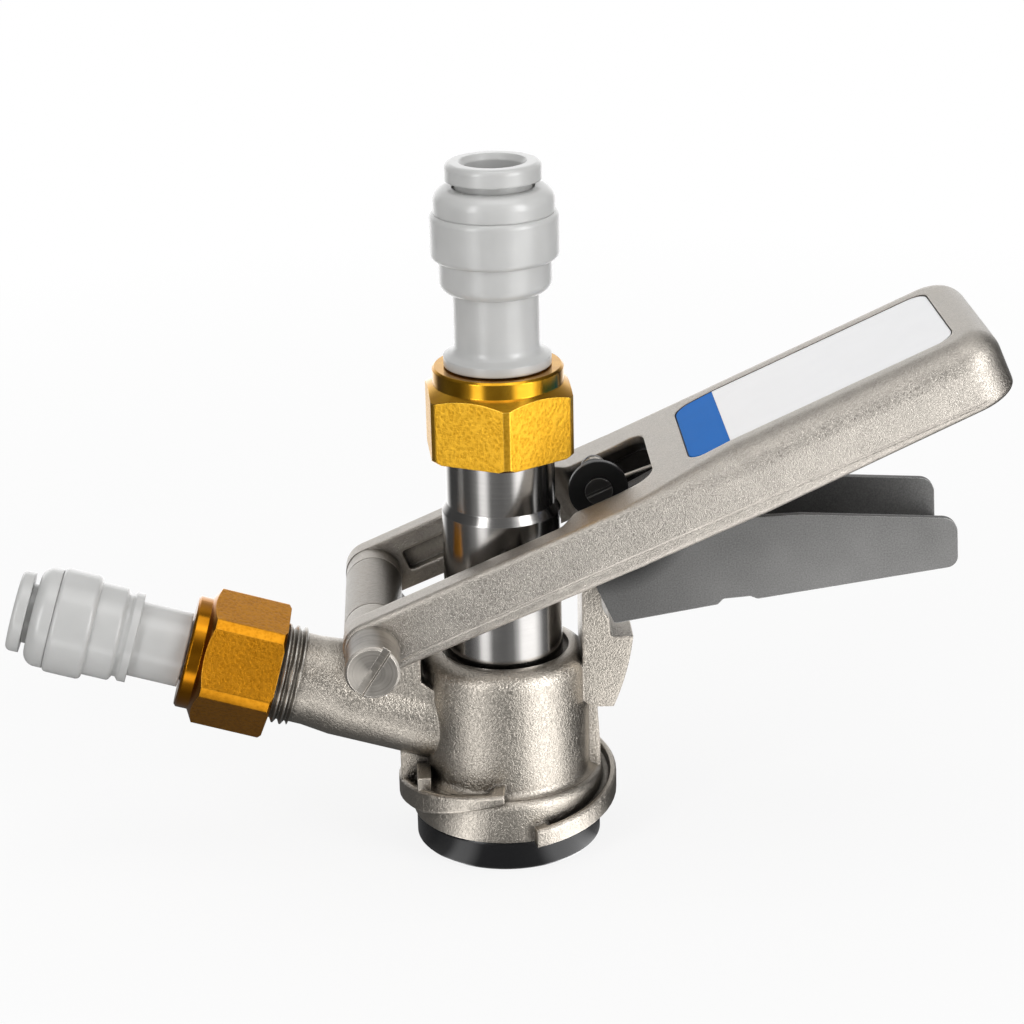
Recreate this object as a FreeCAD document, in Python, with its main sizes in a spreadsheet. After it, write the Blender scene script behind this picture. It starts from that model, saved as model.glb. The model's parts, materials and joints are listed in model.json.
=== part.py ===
import FreeCAD, Part

import math
import os
import Sketcher
from FreeCAD import Placement, Rotation, Vector

# Keg coupler in its raised position.
# Origin: centre of the base seal's bottom face, on the probe's axis.
# Z points up along the probe, X towards the free end of the handle, Y across the handle.

doc = FreeCAD.newDocument("KegCoupler")
sheet = doc.addObject("Spreadsheet::Sheet", "Sizes")
OUTPUT_FOLDER = "parts"


# Sizes that carry both a value and the text that binds a feature to the sheet
class Size:
    def __init__(self, value, text):
        self.value = float(value)
        self.text = text

    def __add__(self, other):
        other = as_size(other)
        return Size(self.value + other.value, f"({self.text} + {other.text})")

    def __radd__(self, other):
        return as_size(other) + self

    def __sub__(self, other):
        other = as_size(other)
        return Size(self.value - other.value, f"({self.text} - {other.text})")

    def __rsub__(self, other):
        return as_size(other) - self

    def __mul__(self, other):
        other = as_size(other)
        return Size(self.value * other.value, f"({self.text} * {other.text})")

    def __rmul__(self, other):
        return as_size(other) * self

    def __truediv__(self, other):
        other = as_size(other)
        return Size(self.value / other.value, f"({self.text} / {other.text})")

    def __neg__(self):
        return Size(-self.value, f"(-{self.text})")


def as_size(number):
    return number if isinstance(number, Size) else Size(number, repr(float(number)))


def sine(angle):
    return Size(math.sin(math.radians(angle.value)), f"sin({angle.text} * 1 deg)")


def cosine(angle):
    return Size(math.cos(math.radians(angle.value)), f"cos({angle.text} * 1 deg)")


def tangent(angle):
    return Size(math.tan(math.radians(angle.value)), f"tan({angle.text} * 1 deg)")


def root(size):
    return Size(math.sqrt(size.value), f"sqrt({size.text})")


# Driving dimensions, in millimetres, degrees or plain counts
sizes = {
    # Clearances that every fit is worked out from
    "slide_gap": 0.06,
    "free_gap": 0.35,
    "seat_gap": 0.05,
    # Base casting: skirt, barrel and base seal
    "seal_radius": 21.2,
    "seal_height": 7.3,
    "seal_edge": 0.4,
    "seal_bore_radius": 12.4,
    "seal_lip_radius": 15.0,
    "seal_neck_radius": 17.6,
    "seal_neck_height": 3.6,
    "skirt_radius": 21.9,
    "skirt_height": 9.8,
    "body_radius": 19.0,
    "body_top": 46.6,
    "rim_round": 4.0,
    "mouth_radius": 14.6,
    "mouth_depth": 1.5,
    "skirt_round": 2.0,
    "skirt_foot": 1.5,
    "chamber_radius": 16.0,
    "guide_length": 11.6,
    "rod_seal_section": 2.4,
    "rod_seal_depth": 4.4,
    # Bayonet lugs round the skirt
    "bayonet_radius": 25.1,
    "bayonet_start": -77.0,
    "bayonet_sweep": 163.0,
    "bayonet_low": 6.9,
    "bayonet_rise": 9.3,
    "bayonet_thin": 2.2,
    "bayonet_thick": 5.6,
    "bayonet_nose": 4.3,
    "bayonet_rim": 1.3,
    "bayonet_groove": 1.6,
    "bayonet_step": 6.0,
    "stop_width": 3.0,
    "stop_height": 4.2,
    "stop_front": 14.0,
    "post_front": 5.0,
    "post_top": 23.0,
    # Probe and its seals
    "probe_radius": 13.2,
    "probe_neck_radius": 12.1,
    "probe_step": 79.6,
    "probe_step_chamfer": 1.9,
    "probe_top": 103.0,
    "probe_shoulder": 33.0,
    "probe_shank_radius": 8.6,
    "probe_bore_radius": 5.0,
    "tip_bottom": 2.0,
    "tip_flange_radius": 10.0,
    "tip_flange_height": 1.6,
    "tip_seal_radius": 11.2,
    "tip_seal_height": 6.0,
    "tip_groove_radius": 7.6,
    "cage_radius": 7.5,
    "cage_depth": 15.0,
    "cage_wall": 1.4,
    "cage_hole_radius": 4.0,
    "cage_seat_thick": 1.6,
    "cage_lip_thick": 1.2,
    "check_ball_radius": 4.6,
    # Beer union nut and washer
    "nut_flats": 31.0,
    "nut_turned_radius": 17.5,
    "nut_bottom": 93.6,
    "nut_hex_height": 15.6,
    "nut_collar_radius": 14.4,
    "nut_collar_height": 3.7,
    "nut_turn": 33.3,
    "nut_cone": 0.6,
    "nut_lead": 0.6,
    "washer_thick": 1.2,
    "tail_flange_thick": 2.4,
    "tail_radius": 8.3,
    # Beer push-in fitting
    "beer_tube_radius": 6.35,
    "beer_way_radius": 4.8,
    "foot_radius": 11.8,
    "foot_height": 3.4,
    "foot_rim": 2.0,
    "foot_flare": 2.0,
    "stem_radius": 9.35,
    "stem_height": 12.9,
    "waist_radius": 12.2,
    "waist_height": 7.4,
    "waist_round": 2.6,
    "housing_radius": 13.9,
    "housing_height": 10.1,
    "cap_radius": 13.1,
    "cap_height": 5.4,
    "collet_flange_radius": 10.4,
    "collet_flange_height": 3.8,
    "collet_travel": 1.6,
    "cap_round": 3.0,
    "housing_wall": 2.6,
    "housing_edge": 1.2,
    "sleeve_wall": 2.0,
    "cap_depth": 8.2,
    "tube_depth": 13.0,
    "grab_thick": 0.6,
    # Gas arm, its thread and the check valve
    "arm_tilt": 17.0,
    "arm_mark_x": -48.2,
    "arm_mark_z": 40.6,
    "arm_radius": 11.0,
    "arm_root": 6.0,
    "thread_radius": 11.45,
    "thread_start": -1.0,
    "thread_root": 10.4,
    "relief_length": 5.4,
    "relief_radius": 10.3,
    "thread_end": 12.5,
    "valve_bore_radius": 7.5,
    "valve_bore_length": 18.0,
    "gas_way_radius": 4.0,
    "gas_ball_radius": 4.2,
    "valve_hole_radius": 3.0,
    "valve_seat_thick": 4.0,
    "valve_floor_thick": 2.0,
    # Gas union nut and push-in fitting, stations counted outwards along the arm
    "gas_nut_flats": 28.0,
    "gas_nut_turned_radius": 15.5,
    "gas_nut_start": 4.0,
    "gas_nut_hex_height": 17.6,
    "gas_nut_collar_radius": 12.8,
    "gas_nut_collar_height": 3.1,
    "gas_nut_turn": 21.8,
    "gas_tail_radius": 6.8,
    "gas_tube_radius": 4.76,
    "gas_way_out_radius": 3.4,
    "gas_stem_radius": 8.5,
    "gas_stem_height": 11.4,
    "bead_radius": 10.2,
    "bead_height": 1.8,
    "bead_edge": 0.7,
    "gas_waist_radius": 10.6,
    "gas_waist_height": 8.0,
    "gas_housing_radius": 11.9,
    "gas_housing_height": 9.0,
    "gas_cap_radius": 11.3,
    "gas_cap_height": 4.6,
    "gas_collet_flange_radius": 9.1,
    "gas_collet_flange_height": 3.0,
    "gas_collet_travel": 1.2,
    "gas_neck_radius": 9.4,
    # Pivot on the gas arm side and the web that carries it
    "pivot_x": -29.26,
    "pivot_z": 56.83,
    "barrel_radius": 6.4,
    "barrel_half_width": 13.5,
    "web_half_width": 9.5,
    "web_right": -19.2,
    "screw_radius": 3.0,
    "head_radius": 5.9,
    "head_length": 11.5,
    "slot_width": 1.9,
    "slot_depth": 1.4,
    "slot_turn": 57.0,
    # Latch lug at the rear of the base casting
    "lug_half_width": 8.0,
    "lug_inner": 17.2,
    "lug_foot": 33.4,
    "lug_reach": 58.2,
    "lug_shelf": 50.6,
    "lug_notch": 23.0,
    "lug_top": 64.0,
    "rib_half_width": 3.0,
    # Handle: a forked casting seen in its own frame, which starts at the pivot and rises with the handle
    "handle_tilt": 23.2,
    "handle_drop": 26.0,
    "handle_half_width": 25.4,
    "arm_thick": 5.9,
    "eye_radius": 6.4,
    "handle_end": 148.6,
    "handle_low": -7.5,
    "handle_low_end": -5.6,
    "handle_high": 6.5,
    "handle_high_grip": 8.35,
    "handle_high_end": 9.6,
    "fork_end": 50.0,
    "opening_end": 70.5,
    "opening_half_width": 14.6,
    "fork_bend": 62.0,
    "grip_start": 88.5,
    "opening_corner": 4.5,
    "arm_round": 1.4,
    "blend_step": 0.15,
    "grip_wall": 3.6,
    "grip_corner": 9.0,
    "grip_round": 6.0,
    "groove_depth": 2.8,
    "groove_start": 8.0,
    "groove_end": 42.0,
    "groove_middle": -0.3,
    "roller_radius": 2.2,
    "roller_play": 0.45,
    "trunnion_radius": 1.5,
    "trunnion_seat": 4.0,
    # Label plate
    "label_start": 79.0,
    "label_end": 140.6,
    "label_half_width": 17.0,
    "label_depth": 0.6,
    "label_corner": 4.0,
    "label_gap": 0.3,
    "label_sink": 0.1,
    # Trigger, its pin, spool and spring
    "trigger_pin_along": 57.5,
    "trigger_pin_up": 5.7,
    "trigger_pin_radius": 1.6,
    "trigger_head_radius": 3.05,
    "tongue_half_width": 2.0,
    "tongue_eye_radius": 4.2,
    "ear_thick": 1.5,
    "spool_radius": 6.6,
    "spool_flange": 1.4,
    "trigger_half_width": 13.65,
    "sheet_thick": 1.5,
    "trigger_length": 78.6,
    "spring_wire_radius": 0.5,
    "spring_play": 0.5,
    "coil_pitch": 1.08,
    "whole_turns": 3,
    "turn_steps": 14,
    "deck_leg": 15.5,
    "deck_leg_angle": -4.0,
    "wall_leg": 20.0,
    "wall_leg_angle": -82.0,
}


class Dimensions:
    """Every driving dimension by its name, each bound to its own cell of the sheet."""


dim = Dimensions()
for row, (alias, value) in enumerate(sizes.items(), start=1):
    sheet.set(f"A{row}", alias.replace("_", " "))
    sheet.set(f"B{row}", str(value))
    sheet.setAlias(f"B{row}", alias)
    setattr(dim, alias, Size(value, "Sizes." + alias))


# Sketch helpers
def plane_of(body, role):
    return [feature for feature in body.Origin.OriginFeatures if feature.Role == role][0]


def new_body(label):
    body = doc.addObject("PartDesign::Body", label)
    body.Label = label
    return body


def new_sketch(body, role, offset=None):
    """Sketch on one of the body's own origin planes, moved along the plane's normal."""
    sketch = body.newObject("Sketcher::SketchObject", body.Label + "_sketch")
    sketch.AttachmentSupport = (plane_of(body, role), "")
    sketch.MapMode = "FlatFace"
    if offset is not None:
        sketch.setExpression("AttachmentOffset.Base.z", as_size(offset).text)
    return sketch


def constrain(sketch, kind, *arguments):
    """Add one constraint; a Size as the last argument also binds it to the sheet."""
    target = arguments[-1]
    if isinstance(target, Size):
        index = sketch.addConstraint(Sketcher.Constraint(kind, *arguments[:-1], target.value))
        sketch.setExpression(f"Constraints[{index}]", target.text)
    else:
        sketch.addConstraint(Sketcher.Constraint(kind, *arguments))


def corner_points(before, corner, after, radius):
    """Tangent points and centre of a round between two straight sides."""
    here = Vector(corner[0].value, corner[1].value, 0)
    back = (Vector(before[0].value, before[1].value, 0) - here).normalize()
    ahead = (Vector(after[0].value, after[1].value, 0) - here).normalize()
    half = back.getAngle(ahead) / 2
    leave = here + back * (radius.value / math.tan(half))
    join = here + ahead * (radius.value / math.tan(half))
    centre = here + (back + ahead).normalize() * (radius.value / math.sin(half))
    turns_left = back.cross(ahead).z < 0
    return leave, join, centre, turns_left


def outline(sketch, points):
    """Closed outline of straight sides; a third number in a point rounds that corner."""
    corners = [tuple(as_size(number) for number in point) for point in points]
    count = len(corners)
    starts, ends, rounds = [], [], {}
    for index, corner in enumerate(corners):
        here = Vector(corner[0].value, corner[1].value, 0)
        if len(corner) == 3:
            before, after = corners[index - 1], corners[(index + 1) % count]
            rounds[index] = corner_points(before, corner, after, corner[2])
            ends.append(rounds[index][0])
            starts.append(rounds[index][1])
        else:
            ends.append(here)
            starts.append(here)
    for index in range(count):
        line = Part.LineSegment(starts[index], ends[(index + 1) % count])
        sketch.addGeometry(line, False)
    for index, corner in enumerate(corners):
        last = (index - 1) % count
        if index not in rounds:
            constrain(sketch, "Coincident", last, 2, index, 1)
            constrain(sketch, "DistanceX", index, 1, corner[0])
            constrain(sketch, "DistanceY", index, 1, corner[1])
            continue
        leave, join, centre, turns_left = rounds[index]
        circle = Part.Circle(centre, Vector(0, 0, 1), corner[2].value)
        first, second = (leave, join) if turns_left else (join, leave)
        first_angle = math.atan2(first.y - centre.y, first.x - centre.x)
        second_angle = math.atan2(second.y - centre.y, second.x - centre.x)
        arc = sketch.addGeometry(Part.ArcOfCircle(circle, first_angle, second_angle), False)
        tip = sketch.addGeometry(Part.Point(Vector(corner[0].value, corner[1].value, 0)), True)
        constrain(sketch, "Tangent", last, 2, arc, 1 if turns_left else 2)
        constrain(sketch, "Tangent", arc, 2 if turns_left else 1, index, 1)
        constrain(sketch, "PointOnObject", tip, 1, last)
        constrain(sketch, "PointOnObject", tip, 1, index)
        constrain(sketch, "DistanceX", tip, 1, corner[0])
        constrain(sketch, "DistanceY", tip, 1, corner[1])
        constrain(sketch, "Radius", arc, corner[2])


def circle(sketch, across, up, radius):
    across, up, radius = as_size(across), as_size(up), as_size(radius)
    centre = Vector(across.value, up.value, 0)
    index = sketch.addGeometry(Part.Circle(centre, Vector(0, 0, 1), radius.value), False)
    constrain(sketch, "DistanceX", index, 3, across)
    constrain(sketch, "DistanceY", index, 3, up)
    constrain(sketch, "Radius", index, radius)


# Feature helpers
def revolve(body, points, cut=False):
    """Turn an outline of (radius, height) about the body's own Z axis."""
    sketch = new_sketch(body, "XZ_Plane")
    outline(sketch, points)
    kind = "PartDesign::Groove" if cut else "PartDesign::Revolution"
    feature = body.newObject(kind, body.Label + "_turned")
    feature.Profile = sketch
    feature.ReferenceAxis = (sketch, ["V_Axis"])
    feature.Angle = 360
    doc.recompute()
    return feature


def extrude(body, sketch, length, symmetric=False, reverse=False, cut=False):
    kind = "PartDesign::Pocket" if cut else "PartDesign::Pad"
    feature = body.newObject(kind, body.Label + "_feature")
    feature.Profile = sketch
    if symmetric:
        feature.SideType = "Symmetric"
    feature.Reversed = reverse
    feature.setExpression("Length", as_size(length).text)
    volume_before = body.Shape.Volume if body.Shape and not body.Shape.isNull() else 0.0
    doc.recompute()
    changed = body.Shape.Volume - volume_before
    if cut and changed > -1e-6:
        raise RuntimeError(body.Label + ": a pocket cuts nothing")
    return feature


def side_plate(body, points, half_width, cut=False):
    """Outline in the XZ plane, given the same depth to both sides of Y = 0."""
    sketch = new_sketch(body, "XZ_Plane")
    outline(sketch, points)
    return extrude(body, sketch, half_width * 2, symmetric=True, cut=cut)


def turned(label, points):
    body = new_body(label)
    revolve(body, points)
    return body


def edges_where(shape, test):
    return [f"Edge{number + 1}" for number, edge in enumerate(shape.Edges) if test(edge)]


def soften(body, kind, size, test):
    """Fillet or chamfer the edges of the body's present shape that pass the test."""
    base = body.Tip
    names = edges_where(base.Shape, test)
    if not names:
        raise RuntimeError(body.Label + ": no edge to soften")
    feature = body.newObject("PartDesign::" + kind, body.Label + "_" + kind.lower())
    feature.Base = (base, names)
    feature.setExpression("Radius" if kind == "Fillet" else "Size", as_size(size).text)
    doc.recompute()
    return feature


# Frames that tilted pieces are placed in
def gas_place(piece):
    """The arm's frame: origin at the thread's inner crest, +Z outwards along the arm."""
    lean = Rotation(Vector(0, 1, 0), -(90 - dim.arm_tilt.value))
    piece.Placement = Placement(Vector(dim.arm_mark_x.value, 0, dim.arm_mark_z.value), lean)


def handle_place(piece):
    """The handle's frame: origin at the pivot, +X along the handle, +Z out of its top."""
    lift = Rotation(Vector(0, 1, 0), -dim.handle_tilt.value)
    piece.Placement = Placement(Vector(dim.pivot_x.value, 0, dim.pivot_z.value), lift)


pieces = []


def finish(piece, place=None):
    """Keep a finished sub-part for the export, in its frame."""
    if place is not None:
        place(piece)
    pieces.append(piece)
    return piece


# Base casting
skirt_bottom = dim.seal_height
skirt_top = dim.seal_height + dim.skirt_height
neck_top = dim.seal_height + dim.seal_neck_height
chamber_top = dim.body_top - dim.guide_length
guide_radius = dim.probe_radius + dim.slide_gap
gland_top = dim.body_top - dim.rod_seal_depth
gland_bottom = gland_top - dim.rod_seal_section - dim.seat_gap * 2
gland_radius = dim.probe_radius + dim.rod_seal_section

body_barrel = turned("body_barrel", [
    (dim.seal_neck_radius, skirt_bottom),
    (dim.skirt_radius, skirt_bottom),
    (dim.skirt_radius, skirt_top, dim.skirt_round),
    (dim.body_radius, skirt_top, dim.skirt_foot),
    (dim.body_radius, dim.body_top, dim.rim_round),
    (dim.mouth_radius, dim.body_top),
    (dim.mouth_radius, dim.body_top - dim.mouth_depth),
    (guide_radius, dim.body_top - dim.mouth_depth),
    (guide_radius, gland_top),
    (gland_radius, gland_top),
    (gland_radius, gland_bottom),
    (guide_radius, gland_bottom),
    (guide_radius, chamber_top),
    (dim.chamber_radius, chamber_top),
    (dim.chamber_radius, neck_top),
    (dim.seal_neck_radius, neck_top),
])

# Gas arm: a turned bar along its own axis, whose inner end the chamber and guide cut away
arm_inner = (dim.arm_mark_x + dim.arm_root) / cosine(dim.arm_tilt)
body_arm = turned("body_arm", [
    (0, arm_inner),
    (dim.arm_radius, arm_inner),
    (dim.arm_radius, dim.thread_start - dim.relief_length * 1.8),
    (dim.relief_radius, dim.thread_start - dim.relief_length * 0.6),
    (dim.relief_radius, dim.thread_start),
    (dim.thread_root, dim.thread_start),
    (dim.thread_root, dim.gas_nut_start - dim.free_gap),
    (dim.thread_radius, dim.gas_nut_start + dim.free_gap),
    (dim.thread_radius, dim.thread_end - 1),
    (dim.thread_radius - 1, dim.thread_end),
    (0, dim.thread_end),
])
gas_place(body_arm)

# Web from the arm up to the pivot barrel, and the barrel itself
web_foot = dim.pivot_z - 24
body_web = new_body("body_web")
side_plate(body_web, [
    (dim.pivot_x - dim.barrel_radius * 0.9, dim.pivot_z),
    (dim.pivot_x - dim.barrel_radius * 0.9, dim.pivot_z - dim.barrel_radius * 2.4),
    (dim.web_right + 2, web_foot),
    (dim.web_right + 4, dim.pivot_z - 18),
    (dim.web_right, dim.pivot_z - 15),
    (dim.web_right, dim.pivot_z - dim.barrel_radius * 0.9, 2.0),
    (dim.pivot_x + dim.barrel_radius * 0.9, dim.pivot_z),
], dim.web_half_width)

body_pivot = new_body("body_pivot")
barrel_sketch = new_sketch(body_pivot, "XZ_Plane")
circle(barrel_sketch, dim.pivot_x, dim.pivot_z, dim.barrel_radius)
extrude(body_pivot, barrel_sketch, dim.barrel_half_width * 2, symmetric=True)

# Latch lug: its outer face is an arc about the pivot, with a notch above and a flat foot below
body_lug = new_body("body_lug")
side_plate(body_lug, [
    (dim.lug_inner, dim.lug_foot + 2),
    (dim.lug_inner + 1.8, dim.lug_foot + 0.3),
    (dim.lug_reach + dim.pivot_x + 2, dim.lug_foot),
    (dim.lug_reach + dim.pivot_x + 2, dim.lug_shelf),
    (dim.lug_notch + 0.5, dim.lug_shelf, 0.8),
    (dim.lug_notch, dim.lug_top - 5),
    (dim.lug_notch - 3, dim.lug_top),
    (dim.lug_inner, dim.lug_top),
], dim.lug_half_width)
lug_limit = new_body("lug_limit")
limit_sketch = new_sketch(lug_limit, "XZ_Plane")
circle(limit_sketch, dim.pivot_x, dim.pivot_z, dim.lug_reach)
extrude(lug_limit, limit_sketch, dim.lug_half_width * 4, symmetric=True)


def shape_object(label, shape):
    feature = doc.addObject("Part::Feature", label)
    feature.Shape = shape
    feature.Label = label
    return feature


def boolean(kind, label, base, tool):
    feature = doc.addObject("Part::" + kind, label)
    feature.Base = base
    feature.Tool = tool
    feature.Label = label
    return feature


def fuse_all(label, shapes):
    feature = doc.addObject("Part::MultiFuse", label)
    feature.Shapes = shapes
    feature.Label = label
    feature.Refine = True
    return feature


lug_round = boolean("Common", "lug_round", body_lug, lug_limit)

# The spool passes the lug's top when the handle is down, so the lug is relieved round it
lowered = dim.handle_tilt - dim.handle_drop
spool_x = dim.pivot_x + dim.trigger_pin_along * cosine(lowered) - dim.trigger_pin_up * sine(lowered)
spool_z = dim.pivot_z + dim.trigger_pin_along * sine(lowered) + dim.trigger_pin_up * cosine(lowered)
spool_relief = new_body("spool_relief")
relief_sketch = new_sketch(spool_relief, "XZ_Plane")
circle(relief_sketch, spool_x, spool_z, dim.spool_radius + dim.free_gap)
extrude(spool_relief, relief_sketch, dim.lug_half_width * 4, symmetric=True)
lug_relieved = boolean("Cut", "lug_relieved", lug_round, spool_relief)

# Rib under the lug, down to the bayonet
body_rib = new_body("body_rib")
side_plate(body_rib, [
    (dim.body_radius - 2, skirt_top - 2),
    (dim.skirt_radius - 0.6, skirt_top - 2),
    (dim.skirt_radius - 0.6, skirt_top + 5),
    (dim.body_radius + 1.6, dim.lug_foot + 1),
    (dim.body_radius - 2, dim.lug_foot + 1),
], dim.rib_half_width)


# Bayonet lugs: two bands that climb round the skirt, each with a rim and a groove behind it
def bayonet_section(turn, bottom, top, groove):
    inner = dim.body_radius.value - dim.bayonet_rim.value
    outer = dim.bayonet_radius.value
    edge = dim.bayonet_rim.value * 0.4
    rim_inside = outer - dim.bayonet_rim.value
    corners = [
        Vector(inner, 0, bottom),
        Vector(outer - edge, 0, bottom),
        Vector(outer, 0, bottom + edge),
        Vector(outer, 0, top - edge),
        Vector(outer - edge, 0, top),
        Vector(rim_inside, 0, top),
        Vector(rim_inside - edge, 0, top - groove),
        Vector(inner, 0, top - groove),
    ]
    wire = Part.makePolygon(corners + corners[:1])
    wire.rotate(Vector(0, 0, 0), Vector(0, 0, 1), dim.bayonet_start.value + turn)
    return wire


def bayonet_band():
    """Ruled loft in steps of a few degrees; the groove stops short of both ends."""
    steps = round(dim.bayonet_sweep.value / dim.bayonet_step.value)
    sections = []
    for number in range(steps + 1):
        share = number / steps
        top = dim.bayonet_low.value + dim.bayonet_nose.value + dim.bayonet_rise.value * share
        swell = math.sin(math.pi * min(share / 0.75, 1.0) / 2)
        thick = dim.bayonet_nose.value + (dim.bayonet_thick.value - dim.bayonet_nose.value) * swell
        if share > 0.7:
            fade = (share - 0.7) / 0.3
            thick = dim.bayonet_thick.value + (dim.bayonet_thin.value - dim.bayonet_thick.value) * fade
        at_end = number in (0, 1, steps - 1, steps)
        groove = dim.slide_gap.value if at_end else dim.bayonet_groove.value
        turn = dim.bayonet_sweep.value * share
        sections.append(bayonet_section(turn, top - thick, top, groove))
    return Part.makeLoft(sections, True, True)


band = bayonet_band()
bayonet_one = shape_object("bayonet_one", band)
other_band = band.copy()
other_band.rotate(Vector(0, 0, 0), Vector(0, 0, 1), 180)
bayonet_two = shape_object("bayonet_two", other_band)

# Stops on the arm's side of the bayonet: a small block on the band and a post beside it
stop_low = skirt_top - 2.4
stop_right = dim.body_radius - 1.2
stop_block = new_body("stop_block")
stop_sketch = new_sketch(stop_block, "XZ_Plane", dim.stop_front)
outline(stop_sketch, [
    (-stop_right - dim.stop_width, stop_low),
    (-stop_right, stop_low),
    (-stop_right, stop_low + dim.stop_height + 1.3),
    (-stop_right - dim.stop_width, stop_low + dim.stop_height + 1.3),
])
extrude(stop_block, stop_sketch, dim.stop_front * 0.6, reverse=True)
stop_post = new_body("stop_post")
post_sketch = new_sketch(stop_post, "XZ_Plane", dim.post_front)
outline(post_sketch, [
    (-dim.bayonet_radius + 0.6, skirt_top - 3),
    (-dim.body_radius + 1, skirt_top - 3),
    (-dim.body_radius + 1, dim.post_top),
    (-dim.bayonet_radius + 0.6, dim.post_top),
])
extrude(stop_post, post_sketch, dim.post_front + 3, reverse=True)

body_solid = fuse_all("body_solid", [
    body_barrel, body_arm, body_web, body_pivot, lug_relieved, body_rib, bayonet_one, bayonet_two,
    stop_block, stop_post,
])

# Bores through the casting: chamber and guide, pivot hole, valve bore and gas way
screw_bore = new_body("screw_bore")
bore_sketch = new_sketch(screw_bore, "XZ_Plane")
circle(bore_sketch, dim.pivot_x, dim.pivot_z, dim.screw_radius + dim.slide_gap)
extrude(screw_bore, bore_sketch, dim.barrel_half_width * 4, symmetric=True)

valve_bottom = dim.thread_end - dim.valve_bore_length
gas_bore = turned("gas_bore", [
    (0, arm_inner + 1),
    (dim.gas_way_radius, arm_inner + 1),
    (dim.gas_way_radius, valve_bottom),
    (dim.valve_bore_radius, valve_bottom),
    (dim.valve_bore_radius, dim.thread_end + 2),
    (0, dim.thread_end + 2),
])
gas_place(gas_bore)

chamber_core = turned("chamber_core", [
    (0, skirt_bottom - 2),
    (dim.seal_radius + dim.free_gap, skirt_bottom - 2),
    (dim.seal_radius + dim.free_gap, skirt_bottom),
    (dim.seal_neck_radius, skirt_bottom),
    (dim.seal_neck_radius, neck_top),
    (dim.chamber_radius, neck_top),
    (dim.chamber_radius, chamber_top),
    (guide_radius, chamber_top),
    (guide_radius, gland_bottom),
    (gland_radius, gland_bottom),
    (gland_radius, gland_top),
    (guide_radius, gland_top),
    (guide_radius, dim.body_top - dim.mouth_depth),
    (dim.mouth_radius, dim.body_top - dim.mouth_depth),
    (dim.mouth_radius, dim.body_top + dim.rim_round),
    (0, dim.body_top + dim.rim_round),
])
core_tool = fuse_all("core_tool", [chamber_core, screw_bore, gas_bore])
coupler_body = boolean("Cut", "coupler_body", body_solid, core_tool)
coupler_body.Refine = True
finish(coupler_body)

# Base seal: thick rubber ring with a neck that plugs into the skirt
finish(turned("base_seal", [
    (dim.seal_bore_radius, 1.2),
    (dim.seal_lip_radius, 0),
    (dim.seal_radius - 0.6, 0),
    (dim.seal_radius, 0.6),
    (dim.seal_radius, dim.seal_height - dim.seal_edge * 2),
    (dim.seal_radius - dim.seal_edge, dim.seal_height),
    (dim.seal_neck_radius, dim.seal_height),
    (dim.seal_neck_radius, neck_top),
    (dim.seal_bore_radius + 1.2, neck_top),
    (dim.seal_bore_radius, neck_top - 1.2),
]))


# Rings: rubber rings whose round section is turned with twelve sides
def ring(label, middle_radius, height, section, place=None):
    sides = 12
    points = []
    for number in range(sides):
        angle = math.radians(360 * (number + 0.5) / sides)
        points.append((middle_radius + section * math.cos(angle),
                       height + section * math.sin(angle)))
    return finish(turned(label, points), place)


# Rod seal in the casting's gland, running on the probe
rod_seal_middle = gland_bottom + (gland_top - gland_bottom) / 2
rod_seal_radius = (gland_radius - dim.probe_radius - dim.slide_gap) / 2
ring("rod_seal", gland_radius - rod_seal_radius, rod_seal_middle, rod_seal_radius)

# Probe: polished rod with a slimmer shank, a grooved tip and a stepped neck
tip_groove_bottom = dim.tip_bottom + dim.tip_flange_height
tip_groove_top = tip_groove_bottom + dim.tip_seal_height
cage_bottom = dim.probe_top - dim.cage_depth
probe = turned("probe", [
    (dim.probe_bore_radius, dim.tip_bottom),
    (dim.tip_flange_radius - 0.6, dim.tip_bottom),
    (dim.tip_flange_radius, dim.tip_bottom + 0.6),
    (dim.tip_flange_radius, tip_groove_bottom),
    (dim.tip_groove_radius, tip_groove_bottom),
    (dim.tip_groove_radius, tip_groove_top),
    (dim.tip_flange_radius, tip_groove_top),
    (dim.tip_flange_radius, tip_groove_top + dim.tip_flange_height),
    (dim.probe_shank_radius, tip_groove_top + dim.tip_flange_height * 2),
    (dim.probe_shank_radius, dim.probe_shoulder - (dim.probe_radius - dim.probe_shank_radius)),
    (dim.probe_radius, dim.probe_shoulder),
    (dim.probe_radius, dim.probe_step),
    (dim.probe_neck_radius, dim.probe_step + dim.probe_step_chamfer),
    (dim.probe_neck_radius, dim.probe_top - 0.8),
    (dim.probe_neck_radius - 0.8, dim.probe_top),
    (dim.cage_radius, dim.probe_top),
    (dim.cage_radius, cage_bottom),
    (dim.probe_bore_radius, cage_bottom),
])

# Blind holes for the two trunnions
pivot_rise = tangent(dim.handle_tilt) * -dim.pivot_x
trunnion_middle = dim.pivot_z + pivot_rise + dim.groove_middle / cosine(dim.handle_tilt)
groove_floor = dim.handle_half_width - dim.arm_thick + dim.groove_depth
trunnion_inner = dim.probe_radius - dim.trunnion_seat
for side in (1, -1):
    hole = new_sketch(probe, "XZ_Plane", -side * trunnion_inner)
    circle(hole, 0, trunnion_middle, dim.trunnion_radius + dim.seat_gap)
    extrude(probe, hole, dim.probe_radius, reverse=side < 0, cut=True)
finish(probe)

finish(turned("probe_tip_seal", [
    (dim.tip_groove_radius, tip_groove_bottom),
    (dim.tip_seal_radius - 1.2, tip_groove_bottom),
    (dim.tip_seal_radius, tip_groove_bottom + 1.4),
    (dim.tip_seal_radius, tip_groove_top - 1.4),
    (dim.tip_seal_radius - 1.2, tip_groove_top),
    (dim.tip_groove_radius, tip_groove_top),
]))

# Trunnion pins and the rollers that ride in the handle's grooves
trunnion_outer = groove_floor - dim.free_gap


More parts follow.
